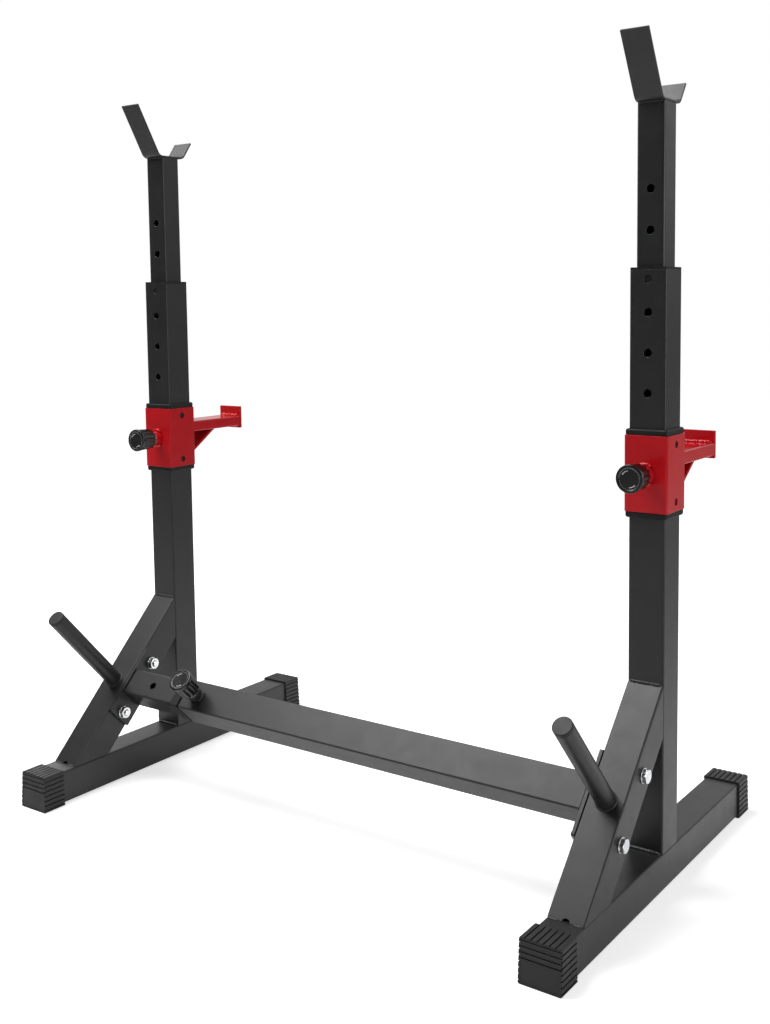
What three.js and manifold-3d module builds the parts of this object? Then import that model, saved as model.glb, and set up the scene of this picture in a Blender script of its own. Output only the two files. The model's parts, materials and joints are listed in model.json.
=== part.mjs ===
// An adjustable squat stand: two free-standing uprights tied by a telescoping crossbar.
// Millimetres, +Z up. X runs along the crossbar, -Y is the side with the braces and knobs.
// The origin is on the floor, under the middle of the whole stand.
import * as THREE from "three";
import { mergeVertices } from "three/addons/utils/BufferGeometryUtils.js";
import Module from "manifold-3d";

const wasm = await Module();
wasm.setup();

// Shared values
const touchGap = 0.3;
const mergeTolerance = 1e-4;
const overrun = 10;
const cutReach = 400;
const cornerSteps = 2;
const roundSides = 20;
const holeSides = 12;

// Square tube of the feet, uprights, braces and crossbar
const standSpacing = 890;
const tubeSize = 50;
const tubeWall = 2;
const tubeCorner = 4;

// Foot tube and its rubber caps
const footNear = 310;
const footFar = 293;
const capWall = 3;
const capEnd = 6;
const capLength = 40;
const capCorner = 5;
const grooveDepth = 1;
const grooveWidth = 1.8;
const sideGroovePitch = 7.4;
const sideGrooveCount = 6;
const topGroovePitch = 8;
const topGrooveCount = 6;
const endGroovePitch = 7.2;
const endGrooveDrop = 3;
const endGrooveCount = 4;

// Upright with its pin holes and the plastic bushing in its top
const uprightTop = 818;
const pinPitch = 52;
const topHoleDrop = 54;
const uprightHoles = 6;
const bossDrop = 12;
const bossRadius = 4.7;
const bossHoleRadius = 5;
const bossRecess = 0.4;
const bushingFlange = 3;
const bushingSkirt = 40;

// Brace, its vent notch, and the plate-storage peg on it
const braceReach = 227.5;
const braceAngle = Math.PI / 4;
const ventRadius = 5;
const pegPlace = 155;
const pegTilt = Math.PI / 60;
const pegRadius = 13;
const pegWall = 2;
const pegLength = 175;
const pegCapHead = 4;
const pegCapPlug = 16;

// Bolted end plates of the crossbar
const barPlace = 161;
const plateThickness = 5;
const boltOffset = 46.5;
const plateEdge = 12.5;
const plateLength = 2 * (boltOffset + plateEdge);
const boltRadius = 5;
const boltHoleRadius = 5.4;
const boltTip = 13;
const hexAcrossFlats = 17;
const headHeight = 6.4;
const nutHeight = 8;
const flangeRadius = 10;
const flangeHeight = 1.5;

// Crossbar: outer tube on the right stand, inner tube on the left stand
const barWall = 1.5;
const barOpenEnd = -286;
const barSpace = 1.5;
const innerBarSize = tubeSize - 2 * (barWall + barSpace);
const innerBarEnd = 170;
const barPitch = 100;
const barHolesInward = 4;
const barHolesOutward = 1;
const linerFlange = 20;
const linerInset = 1;
const linerSkirt = 14;
const barPinPastLiner = 11;
const barPinFromEnd = linerSkirt + barPinPastLiner;

// Inner post, its glide and its hook
const postSpace = 4;
const postSize = tubeSize - 2 * (tubeWall + postSpace);
const postCorner = 3;
const postTop = 1028.5;
const postHoleDrop = 108.5;
const postHoles = 10;
const postTail = 40;
const glideFoot = 4;
const glidePlug = 25;
const hookPlate = 4;
const hookSeatBack = 24;
const hookSeatFront = 29.5;
const tallLip = 94;
const tallLean = Math.PI / 6;
const shortLip = 36;
const shortLean = Math.PI / 5;
const hookBend = 5;
const bendSteps = 4;

// Sliding catch: sleeve, plastic bushings, arm, end lip and strut
const catchHole = 4;
const sleeveWall = 2;
const sleeveSpace = 3;
const sleeveSize = tubeSize + 2 * (sleeveWall + sleeveSpace);
const sleeveCorner = 5;
const sleeveLength = 100;
const sleeveBossInset = 12.5;
const sleeveBossHole = 5;
const sleeveBossRadius = 4.6;
const sleeveBossRecess = 1;
const catchFlange = 6;
const catchFlangeInset = 1;
const catchFlangeSize = sleeveSize - 2 * catchFlangeInset;
const catchSkirt = 26;
const armInset = 6;
const armWidth = sleeveSize - 2 * armInset;
const armHeight = 18;
const armWall = 2;
const armCorner = 2;
const armRise = 6;
const lipFace = 121;
const lipHeight = 39;
const lipThickness = 5;
const lipRise = 2;
const strutInset = 4;
const strutWidth = armWidth - 2 * strutInset;
const strutThickness = 4;
const strutReach = 58;
const strutDrop = 38.5;

// Spring plunger: barrel, pin, spring and knob
const pinRadius = 5;
const pinHolePlay = 0.5;
const pinBorePlay = 0.6;
const pinChamfer = 1.2;
const pinTravel = 12;
const pinStandoff = 0.7;
const collarRim = 1.3;
const collarThickness = 2.5;
const collarStop = 1;
const shankRadius = 4;
const shankClearance = 0.3;
const springRoom = 10;
const springWire = 0.6;
const springTurns = 5;
const springSides = 5;
const springStepsPerTurn = 8;
const barrelEnd = 2.5;
const barrelWall = 4.9;
const barrelLength = collarStop + pinTravel + collarThickness + springRoom + barrelEnd;
const barrelBore = pinRadius + collarRim + shankClearance;
const barrelRadius = barrelBore + barrelWall;
const knobClearance = 0.7;
const knobFaceWall = 9;
const knobStandoff = touchGap + barrelLength + pinTravel + knobClearance + knobFaceWall;
const knobLength = 31;
const knobHead = 7;
const knobEdge = 1.5;
const knobPlay = 0.8;
const gripWall = 3.2;
const gripTaper = 2;
const headRim = 1;
const knobBore = barrelRadius + knobPlay;
const gripRearRadius = knobBore + gripWall;
const gripRadius = gripRearRadius + gripTaper;
const knobRadius = gripRadius + headRim;
const gripFlutes = 12;
const fluteRadius = 3;
const fluteDepth = 1.2;
const fluteSides = 10;
const dishRim = 4.5;
const knobDish = knobRadius - dishRim;
const knobDishDepth = 0.8;

// Sizes worked out from the ones above
const seatOverlap = 2 * touchGap;
const half = 0.5;
const pinHoleRadius = pinRadius + pinHolePlay;
const pinBoreRadius = pinRadius + pinBorePlay;
const tubeHalf = tubeSize * half;
const capSize = tubeSize + 2 * capWall;
const footTop = capWall + tubeSize;
const footMiddle = capWall + tubeHalf;
const axisY = (footNear - footFar) * half;
const topHole = uprightTop - topHoleDrop;
const catchHeight = topHole - catchHole * pinPitch;
const postHole = postTop - postHoleDrop;
const postFoot = postHole - (postHoles - 1) * pinPitch - postTail;
const braceFace = braceReach / Math.cos(braceAngle);
const plateFace = standSpacing * half - tubeHalf - touchGap - plateThickness;
const barPin = barOpenEnd + barPinFromEnd;
const barInside = tubeSize - 2 * barWall;
const sleeveHalf = sleeveSize * half;

const material = (color, roughness, metalness) =>
  new THREE.MeshStandardMaterial({ color, roughness, metalness });
const blackCoat = material(0x2b2c2e, 0.5, 0.2);
const redCoat = material(0xb01c26, 0.35, 0.1);
const rubber = material(0x1c1c1d, 0.85, 0);
const plastic = material(0x18181a, 0.5, 0);
const glossPlastic = material(0x0e0e10, 0.25, 0);
const zinc = material(0xc9ccd0, 0.3, 0.9);

// Solids: closed three.js geometry in and out of the boolean library
function toSolid(geometry) {
  const bare = geometry.clone();
  bare.deleteAttribute("normal");
  bare.deleteAttribute("uv");
  const merged = mergeVertices(bare, mergeTolerance);
  return new wasm.Manifold(new wasm.Mesh({
    numProp: 3,
    vertProperties: new Float32Array(merged.attributes.position.array),
    triVerts: new Uint32Array(merged.index.array),
  }));
}

function toGeometry(solid) {
  const mesh = solid.getMesh();
  const geometry = new THREE.BufferGeometry();
  geometry.setAttribute("position", new THREE.BufferAttribute(mesh.vertProperties, 3));
  geometry.setIndex(new THREE.BufferAttribute(mesh.triVerts, 1));
  geometry.computeVertexNormals();
  return geometry;
}

const join = (first, ...others) =>
  toGeometry(others.reduce((solid, other) => solid.add(toSolid(other)), toSolid(first)));

const cut = (first, ...tools) =>
  toGeometry(tools.reduce((solid, tool) => solid.subtract(toSolid(tool)), toSolid(first)));

// Closed sections
function roundedPath(target, width, depth, corner) {
  const x = width * half - corner;
  const y = depth * half - corner;
  const quarter = Math.PI / 2;
  target.absarc(x, y, corner, 0, quarter);
  target.absarc(-x, y, corner, quarter, 2 * quarter);
  target.absarc(-x, -y, corner, 2 * quarter, 3 * quarter);
  target.absarc(x, -y, corner, 3 * quarter, 4 * quarter);
  target.closePath();
  return target;
}

const extrude = (shape, length, curveSegments = cornerSteps) =>
  new THREE.ExtrudeGeometry(shape, { depth: length, bevelEnabled: false, curveSegments });

const block = (width, depth, length, corner) =>
  extrude(roundedPath(new THREE.Shape(), width, depth, corner), length);

function tube(width, depth, wall, length, corner) {
  const shape = roundedPath(new THREE.Shape(), width, depth, corner);
  const inside = Math.max(corner - wall, wall * half);
  shape.holes.push(roundedPath(new THREE.Path(), width - 2 * wall, depth - 2 * wall, inside));
  return extrude(shape, length);
}

const rod = (radius, length, sides = roundSides) =>
  new THREE.CylinderGeometry(radius, radius, length, sides)
    .rotateX(Math.PI / 2)
    .translate(0, 0, length * half);

const lathe = (outline) =>
  new THREE.LatheGeometry(outline.map(([r, z]) => new THREE.Vector2(r, z)), roundSides)
    .rotateX(Math.PI / 2);

const box = (width, depth, height) => new THREE.BoxGeometry(width, depth, height);

const hexagon = (acrossFlats, length) =>
  rod(acrossFlats * half / Math.cos(Math.PI / 6), length, 6);

// A hole through the -Y wall of a square tube that stands along Z
const wallHole = (radius, faceY, height, depth = overrun) =>
  rod(radius, depth, holeSides)
    .translate(0, 0, -depth * half)
    .rotateX(Math.PI / 2)
    .translate(0, faceY, height);

function mesh(name, geometry, look) {
  const piece = new THREE.Mesh(geometry, look);
  piece.name = name;
  return piece;
}

function place(piece, x, y, z) {
  piece.position.set(x, y, z);
  return piece;
}

function frame(parent, x, y, z, turnX = 0) {
  const group = place(new THREE.Group(), x, y, z);
  group.rotation.x = turnX;
  parent.add(group);
  return group;
}

// Foot: a square tube along Y, closed at both ends by ribbed rubber caps
function footTube() {
  return tube(tubeSize, tubeSize, tubeWall, footNear + footFar, tubeCorner).rotateX(Math.PI / 2);
}

// The cap is made with its closed end at -Y and its mouth towards +Y
function footCap() {
  const shell = block(capSize, capSize, capLength, capCorner).rotateX(-Math.PI / 2);
  const pocketSize = tubeSize + 2 * touchGap;
  const pocket = block(pocketSize, pocketSize, capLength, tubeCorner)
    .rotateX(-Math.PI / 2)
    .translate(0, capEnd, 0);
  const tools = [pocket];
  const edge = capSize * half;
  const along = capLength + overrun;
  for (let i = 0; i < sideGrooveCount; i++) {
    const height = (i - (sideGrooveCount - 1) * half) * sideGroovePitch;
    for (const side of [-1, 1]) {
      tools.push(box(2 * grooveDepth, along, grooveWidth).translate(side * edge, capLength * half, height));
    }
  }
  for (let i = 0; i < topGrooveCount; i++) {
    const across = (i - (topGrooveCount - 1) * half) * topGroovePitch;
    tools.push(box(grooveWidth, along, 2 * grooveDepth).translate(across, capLength * half, edge));
  }
  for (let i = 0; i < endGrooveCount; i++) {
    const height = edge - endGrooveDrop - i * endGroovePitch;
    tools.push(box(capSize + overrun, 2 * grooveDepth, grooveWidth).translate(0, 0, height));
  }
  return cut(shell, ...tools);
}

// Upright: holes only in the wall that faces -Y
function uprightTube() {
  const base = footTop + touchGap;
  const body = tube(tubeSize, tubeSize, tubeWall, uprightTop - base, tubeCorner).translate(0, 0, base);
  const tools = [wallHole(bossHoleRadius, -tubeHalf, uprightTop - bossDrop)];
  for (let i = 0; i < uprightHoles; i++) {
    tools.push(wallHole(pinHoleRadius, -tubeHalf, topHole - i * pinPitch));
  }
  return cut(body, ...tools);
}

// Plastic bushing in the top of the upright; its boss snaps into the wall's top hole
function topBushing() {
  const skirtSize = tubeSize - 2 * tubeWall - 2 * touchGap;
  const bore = postSize + 2 * touchGap;
  const skirt = block(skirtSize, skirtSize, bushingSkirt + seatOverlap, tubeCorner - tubeWall)
    .translate(0, 0, uprightTop - bushingSkirt);
  const flange = block(tubeSize, tubeSize, bushingFlange, tubeCorner)
    .translate(0, 0, uprightTop + touchGap);
  const bossLength = tubeWall + touchGap - bossRecess;
  const boss = rod(bossRadius, bossLength + tubeWall, holeSides)
    .rotateX(Math.PI / 2)
    .translate(0, -skirtSize * half + tubeWall, uprightTop - bossDrop);
  const passage = block(bore, bore, bushingSkirt + bushingFlange + 2 * overrun, postCorner)
    .translate(0, 0, uprightTop - bushingSkirt - overrun);
  return cut(join(skirt, flange, boss), passage);
}

// Brace, in a frame whose Y runs up the brace and whose Z leaves its front face
function braceTube() {
  const body = tube(tubeSize, tubeSize, tubeWall, braceFace + 2 * cutReach, tubeCorner)
    .rotateX(-Math.PI / 2)
    .translate(0, -cutReach, -tubeHalf);
  const ground = box(cutReach, 2 * cutReach, 2 * cutReach)
    .translate(0, 0, touchGap - cutReach)
    .rotateX(-braceAngle);
  const wall = box(cutReach, 2 * cutReach, 2 * cutReach)
    .translate(0, cutReach - touchGap, 0)
    .rotateX(-braceAngle)
    .translate(0, braceFace, 0);
  const vent = rod(ventRadius, overrun, holeSides).translate(0, 0, -overrun * half);
  const tools = [ground, wall, vent];
  for (const side of [-1, 1]) {
    tools.push(rod(boltHoleRadius, tubeSize + overrun, holeSides)
      .translate(0, 0, -(tubeSize + overrun) * half)
      .rotateY(Math.PI / 2)
      .translate(0, barPlace + side * boltOffset, -tubeHalf));
  }
  return cut(body, ...tools);
}

function pegTube() {
  const bore = pegRadius - pegWall;
  const length = pegLength - pegCapHead - touchGap;
  const body = rod(pegRadius, length + pegRadius).translate(0, 0, -pegRadius);
  const hollow = rod(bore, length + pegRadius + 2 * overrun).translate(0, 0, -pegRadius - overrun);
  const seat = box(tubeSize, tubeSize, tubeSize)
    .translate(0, 0, touchGap - tubeHalf)
    .rotateX(pegTilt);
  return cut(body, hollow, seat);
}

function pegCap() {
  const plugRadius = pegRadius - pegWall - touchGap;
  const top = pegLength;
  const seat = pegLength - pegCapHead;
  return lathe([
    [0, seat - pegCapPlug],
    [plugRadius, seat - pegCapPlug],
    [plugRadius, seat],
    [pegRadius, seat],
    [pegRadius, top - pegWall * half],
    [pegRadius - pegWall * half, top],
    [0, top],
  ]);
}

// Bolt along Z: the head sits on the plane z = 0 and the shank runs down
function bolt() {
  const shank = tubeSize + plateThickness + 2 * touchGap + boltTip;
  return join(
    rod(flangeRadius, flangeHeight).translate(0, 0, touchGap),
    hexagon(hexAcrossFlats, headHeight).translate(0, 0, touchGap + flangeHeight * half),
    rod(boltRadius, shank + flangeHeight).translate(0, 0, -shank + touchGap),
  );
}

function flangeNut() {
  const bore = boltRadius + touchGap;
  const body = join(
    rod(flangeRadius, flangeHeight),
    hexagon(hexAcrossFlats, nutHeight - flangeHeight * half).translate(0, 0, flangeHeight * half),
  );
  return cut(body, rod(bore, nutHeight + 2 * overrun).translate(0, 0, -overrun));
}

function endPlate() {
  const body = block(plateLength, tubeSize, plateThickness, tubeCorner)
    .rotateZ(Math.PI / 2)
    .rotateY(Math.PI / 2);
  const holes = [-1, 1].map((side) =>
    rod(boltHoleRadius, plateThickness + 2 * overrun, holeSides)
      .translate(0, 0, -overrun)
      .rotateY(Math.PI / 2)
      .translate(0, side * boltOffset, 0));
  return cut(body, ...holes);
}

// One stand. inward is the X direction from this stand to the other one
function buildStand(side, inward) {
  const stand = new THREE.Group();
  const foot = frame(stand, 0, 0, footMiddle);
  foot.add(place(mesh(`${side}_foot_tube`, footTube(), blackCoat), 0, footFar, 0));
  foot.add(place(mesh(`${side}_near_foot_cap`, footCap(), rubber), 0, -footNear - capEnd - touchGap, 0));
  const farCap = place(mesh(`${side}_far_foot_cap`, footCap(), rubber), 0, footFar + capEnd + touchGap, 0);
  farCap.rotation.z = Math.PI;
  foot.add(farCap);
  stand.add(mesh(`${side}_upright_tube`, uprightTube(), blackCoat));
  stand.add(mesh(`${side}_upright_bushing`, topBushing(), plastic));

  const brace = frame(stand, 0, -tubeHalf - braceReach, footTop, braceAngle);
  brace.add(mesh(`${side}_brace_tube`, braceTube(), blackCoat));
  const peg = frame(brace, 0, pegPlace, 0, -pegTilt);
  peg.add(mesh(`${side}_plate_peg`, pegTube(), blackCoat));
  peg.add(mesh(`${side}_plate_peg_cap`, pegCap(), plastic));

  const inner = frame(brace, inward * (tubeHalf + touchGap), barPlace, -tubeHalf);
  inner.scale.x = inward;
  inner.add(mesh(`${side}_crossbar_end_plate`, endPlate(), blackCoat));
  [-1, 1].forEach((way, i) => {
    const label = i === 0 ? "lower" : "upper";
    const head = mesh(`${side}_${label}_bolt`, bolt(), zinc);
    head.rotation.y = -Math.PI / 2;
    inner.add(place(head, -tubeSize - touchGap, way * boltOffset, 0));
    const nut = mesh(`${side}_${label}_nut`, flangeNut(), zinc);
    nut.rotation.y = Math.PI / 2;
    inner.add(place(nut, plateThickness + touchGap, way * boltOffset, 0));
  });
  return stand;
}

// Bent plate: fillet the corners of a centre line and give it a thickness
function filleted(points, radius, steps) {
  const line = [points[0]];
  for (let i = 1; i < points.length - 1; i++) {
    const before = points[i - 1].clone().sub(points[i]).normalize();
    const after = points[i + 1].clone().sub(points[i]).normalize();
    const start = points[i].clone().addScaledVector(before, radius);
    const end = points[i].clone().addScaledVector(after, radius);
    line.push(...new THREE.QuadraticBezierCurve(start, points[i], end).getPoints(steps));
  }
  line.push(points[points.length - 1]);
  return line;
}

function ribbon(line, thickness) {
  const sides = [[], []];
  line.forEach((point, i) => {
    const from = line[Math.max(i - 1, 0)];
    const to = line[Math.min(i + 1, line.length - 1)];
    const along = to.clone().sub(from).normalize();
    const across = new THREE.Vector2(-along.y, along.x);
    sides[0].push(point.clone().addScaledVector(across, thickness * half));
    sides[1].unshift(point.clone().addScaledVector(across, -thickness * half));
  });
  return new THREE.Shape([...sides[0], ...sides[1]]);
}

// A plate whose outline is drawn in Y and Z and that is as wide as width in X
const crosswise = (shape, width) =>
  extrude(shape, width).translate(0, 0, -width * half).rotateZ(Math.PI / 2).rotateY(Math.PI / 2);

function hookPlateShape() {
  const seat = hookPlate * half;
  const back = new THREE.Vector2(-hookSeatBack, seat);
  const front = new THREE.Vector2(hookSeatFront, seat);
  const tallTip = back.clone().add(
    new THREE.Vector2(-Math.sin(tallLean), Math.cos(tallLean)).multiplyScalar(tallLip));
  const shortTip = front.clone().add(
    new THREE.Vector2(Math.sin(shortLean), Math.cos(shortLean)).multiplyScalar(shortLip));
  return ribbon(filleted([tallTip, back, front, shortTip], hookBend, bendSteps), hookPlate);
}

function postTube() {
  const body = tube(postSize, postSize, tubeWall, postTop - postFoot, postCorner)
    .translate(0, 0, postFoot);
  const tools = [];
  for (let i = 0; i < postHoles; i++) {
    tools.push(wallHole(pinHoleRadius, -postSize * half, postHole - i * pinPitch));
  }
  return cut(body, ...tools);
}

// Plastic glide plugged into the post's lower end; its foot runs inside the upright
function postGlide() {
  const footSize = tubeSize - 2 * tubeWall - 2 * touchGap;
  const plugSize = postSize - 2 * tubeWall - 2 * touchGap;
  const corner = tubeCorner - tubeWall;
  return join(
    block(footSize, footSize, glideFoot, corner).translate(0, 0, postFoot - touchGap - glideFoot),
    block(plugSize, plugSize, glidePlug + glideFoot, corner * half)
      .translate(0, 0, postFoot - touchGap - glideFoot),
  );
}

function buildPost(side) {
  const post = new THREE.Group();
  post.add(mesh(`${side}_inner_post`, postTube(), blackCoat));
  post.add(mesh(`${side}_post_glide`, postGlide(), plastic));
  const hook = crosswise(hookPlateShape(), postSize);
  post.add(place(mesh(`${side}_bar_hook`, hook, blackCoat), 0, 0, postTop + touchGap));
  return post;
}

// Catch sleeve and its two bushings, centred on the catch's own height
function sleeveTube() {
  const body = tube(sleeveSize, sleeveSize, sleeveWall, sleeveLength, sleeveCorner)
    .translate(0, 0, -sleeveLength * half);
  const bossHeight = sleeveLength * half - sleeveBossInset;
  const tools = [wallHole(pinBoreRadius, -sleeveHalf, 0)];
  for (const height of [-bossHeight, bossHeight]) {
    tools.push(rod(sleeveBossHole, sleeveSize + overrun, holeSides)
      .translate(0, 0, -(sleeveSize + overrun) * half)
      .rotateY(Math.PI / 2)
      .translate(0, 0, height));
  }
  return cut(body, ...tools);
}

// The bushing is made for the top of the sleeve, with its skirt hanging down from z = 0
function catchBushing() {
  const skirtSize = sleeveSize - 2 * sleeveWall - 2 * touchGap;
  const bore = tubeSize + 2 * touchGap;
  const bossSpan = sleeveSize - 2 * sleeveBossRecess;
  const skirt = block(skirtSize, skirtSize, catchSkirt + seatOverlap, sleeveCorner - sleeveWall)
    .translate(0, 0, -catchSkirt);
  const flange = block(catchFlangeSize, catchFlangeSize, catchFlange, sleeveCorner)
    .translate(0, 0, touchGap);
  const boss = rod(sleeveBossRadius, bossSpan, holeSides)
    .translate(0, 0, -bossSpan * half)
    .rotateY(Math.PI / 2)
    .translate(0, 0, -sleeveBossInset);
  const passage = block(bore, bore, catchSkirt + catchFlange + 2 * overrun, tubeCorner)
    .translate(0, 0, -catchSkirt - overrun);
  return cut(join(skirt, flange, boss), passage);
}

const armTube = () =>
  tube(armWidth, armHeight, armWall, lipFace - 2 * touchGap, armCorner)
    .rotateX(-Math.PI / 2)
    .translate(0, sleeveHalf + touchGap, armRise + armHeight * half);

const armLip = () =>
  block(armWidth, lipHeight, lipThickness, armWall)
    .rotateX(-Math.PI / 2)
    .translate(0, sleeveHalf + lipFace, lipRise + lipHeight * half);

function armStrut() {
  const slope = Math.atan2(strutDrop, strutReach);
  const root = sleeveHalf + touchGap;
  const under = armRise - touchGap;
  const shape = new THREE.Shape([
    new THREE.Vector2(root, under - strutDrop),
    new THREE.Vector2(root + strutReach, under),
    new THREE.Vector2(root + strutReach - strutThickness / Math.sin(slope), under),
    new THREE.Vector2(root, under - strutDrop + strutThickness / Math.cos(slope)),
  ]);
  return crosswise(shape, strutWidth);
}

function buildCatch(side) {
  const group = new THREE.Group();
  group.add(mesh(`${side}_catch_sleeve`, sleeveTube(), redCoat));
  const upper = mesh(`${side}_catch_upper_bushing`, catchBushing(), plastic);
  group.add(place(upper, 0, 0, sleeveLength * half));
  const lower = mesh(`${side}_catch_lower_bushing`, catchBushing(), plastic);
  lower.rotation.x = Math.PI;
  group.add(place(lower, 0, 0, -sleeveLength * half));
  group.add(mesh(`${side}_catch_arm`, armTube(), redCoat));
  group.add(mesh(`${side}_catch_arm_lip`, armLip(), redCoat));
  group.add(mesh(`${side}_catch_arm_strut`, armStrut(), redCoat));
  const plunger = frame(group, 0, -sleeveHalf, 0, Math.PI / 2);
  addPlunger(plunger, `${side}_catch`, redCoat, sleeveHalf - tubeHalf);
  return group;
}

// Spring plunger along +Z, on a face at z = 0, over a hole whose far wall lies at -gapDepth.
// It is drawn back: its tip stands just clear of the tube that it locks when it goes in.
function plungerBarrel() {
  const body = rod(barrelRadius, barrelLength).translate(0, 0, touchGap);
  const chamber = rod(barrelBore, barrelLength - barrelEnd + overrun)
    .translate(0, 0, touchGap - overrun);
  const mouth = rod(shankRadius + shankClearance, barrelLength + 2 * overrun)
    .translate(0, 0, -overrun);
  return cut(body, chamber, mouth);
}

const collarSeat = touchGap + pinTravel + collarStop;

function plungerPin(gapDepth) {
  const tip = -gapDepth + pinStandoff;
  const top = knobStandoff - knobHead * half - touchGap;
  return lathe([
    [0, tip],
    [pinRadius - pinChamfer, tip],
    [pinRadius, tip + pinChamfer],
    [pinRadius, collarSeat],
    [barrelBore - shankClearance, collarSeat],
    [barrelBore - shankClearance, collarSeat + collarThickness],
    [shankRadius, collarSeat + collarThickness],
    [shankRadius, top],
    [0, top],
  ]);
}

class Helix extends THREE.Curve {
  constructor(radius, turns, rise) {
    super();
    this.radius = radius;
    this.turns = turns;
    this.rise = rise;
  }

  getPoint(share, target = new THREE.Vector3()) {
    const angle = share * this.turns * 2 * Math.PI;
    return target.set(
      this.radius * Math.cos(angle),
      this.radius * Math.sin(angle),
      share * this.rise,
    );
  }
}

function plungerSpring() {
  const low = collarSeat + collarThickness + touchGap + springWire;
  const high = touchGap + barrelLength - barrelEnd - touchGap - springWire;
  const middle = (shankRadius + barrelBore) * half;
  const section = new THREE.Shape();
  section.absarc(0, 0, springWire, 0, 2 * Math.PI);
  const points = section.getSpacedPoints(springSides).slice(0, springSides);
  return new THREE.ExtrudeGeometry(new THREE.Shape(points), {
    steps: springTurns * springStepsPerTurn,
    bevelEnabled: false,
    extrudePath: new Helix(middle, springTurns, high - low),
  }).translate(0, 0, low);
}

// Fluted grip that widens towards its round head, hollow so that it runs over the barrel
function plungerKnob() {
  const rear = knobStandoff - knobLength;
  const seam = knobStandoff - knobHead;
  const body = lathe([
    [0, rear],
    [gripRearRadius, rear],
    [gripRadius, seam],
    [knobRadius - knobEdge, seam],
    [knobRadius, seam + knobEdge],
    [knobRadius, knobStandoff - knobEdge],
    [knobRadius - knobEdge, knobStandoff],
    [knobDish, knobStandoff],
    [knobDish - knobDishDepth, knobStandoff - knobDishDepth],
    [0, knobStandoff - knobDishDepth],
  ]);
  const cavityTop = touchGap + barrelLength + pinTravel + knobClearance;
  const socketTop = knobStandoff - knobHead * half;
  const tools = [
    rod(knobBore, cavityTop - rear + overrun).translate(0, 0, rear - overrun),
    rod(shankRadius + shankClearance, socketTop - rear, holeSides).translate(0, 0, rear),
  ];
  const lean = Math.atan2(gripRadius - gripRearRadius, seam - rear);
  for (let i = 0; i < gripFlutes; i++) {
    tools.push(rod(fluteRadius, seam - rear + overrun, fluteSides)
      .translate(0, 0, -overrun)
      .rotateY(lean)
      .translate(gripRearRadius + fluteRadius - fluteDepth, 0, rear)
      .rotateZ((i / gripFlutes) * 2 * Math.PI));
  }
  return cut(body, ...tools);
}

function addPlunger(group, name, look, gapDepth) {
  group.add(mesh(`${name}_plunger_barrel`, plungerBarrel(), look));
  group.add(mesh(`${name}_plunger_pin`, plungerPin(gapDepth), zinc));
  group.add(mesh(`${name}_plunger_spring`, plungerSpring(), zinc));
  group.add(mesh(`${name}_plunger_knob`, plungerKnob(), glossPlastic));
}

// Crossbar, in the brace's turned frame with its centre line along X
function barTube(size, wall, from, to, holes, radius) {
  const body = tube(size, size, wall, to - from, tubeCorner - wall * half)
    .rotateY(Math.PI / 2)
    .translate(from, 0, 0);
  const tools = holes.map((x) =>
    rod(radius, overrun, holeSides).translate(x, 0, size * half - overrun * half));
  return cut(body, ...tools);
}

function barLiner() {
  const skirtSize = barInside - 2 * touchGap;
  const flangeSize = tubeSize - 2 * linerInset;
  const bore = innerBarSize + 2 * touchGap;
  const corner = tubeCorner - barWall;
  return cut(
    join(
      block(skirtSize, skirtSize, linerSkirt + seatOverlap, corner).translate(0, 0, -seatOverlap),
      block(flangeSize, flangeSize, linerFlange, tubeCorner)
        .translate(0, 0, -touchGap - linerFlange),
    ),
    block(bore, bore, linerSkirt + linerFlange + 2 * overrun, corner)
      .translate(0, 0, -linerFlange - overrun),
  ).rotateY(Math.PI / 2).translate(barOpenEnd, 0, 0);
}

function buildCrossbar(root) {
  const bar = frame(root, 0, axisY - tubeHalf - braceReach, footTop, braceAngle);
  const line = frame(bar, 0, barPlace, -tubeHalf);
  const outer = barTube(tubeSize, barWall, barOpenEnd, plateFace - touchGap, [barPin], pinBoreRadius);
  line.add(mesh("crossbar_outer_tube", outer, blackCoat));
  line.add(mesh("crossbar_liner", barLiner(), plastic));
  const holes = [];
  for (let i = -barHolesOutward; i <= barHolesInward; i++) {
    holes.push(barPin + i * barPitch);
  }
  const inner = barTube(innerBarSize, barWall, touchGap - plateFace, innerBarEnd, holes, pinHoleRadius);
  line.add(mesh("crossbar_inner_tube", inner, blackCoat));
  const plunger = frame(line, barPin, 0, tubeHalf);
  addPlunger(plunger, "crossbar", blackCoat, (tubeSize - innerBarSize) * half);
}

// The whole stand
const squatStand = new THREE.Group();
squatStand.name = "squat_stand";
for (const [side, way] of [["left", -1], ["right", 1]]) {
  const stand = frame(squatStand, way * standSpacing * half, axisY, 0);
  stand.add(buildStand(side, -way));
  stand.add(buildPost(side));
  stand.add(place(buildCatch(side), 0, 0, catchHeight));
}
buildCrossbar(squatStand);

export default squatStand;
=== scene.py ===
# Looks of the squat stand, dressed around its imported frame. Metres, +Z up.
import json
import math
import random

import bmesh
import bpy
from mathutils import Matrix, Vector


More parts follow.
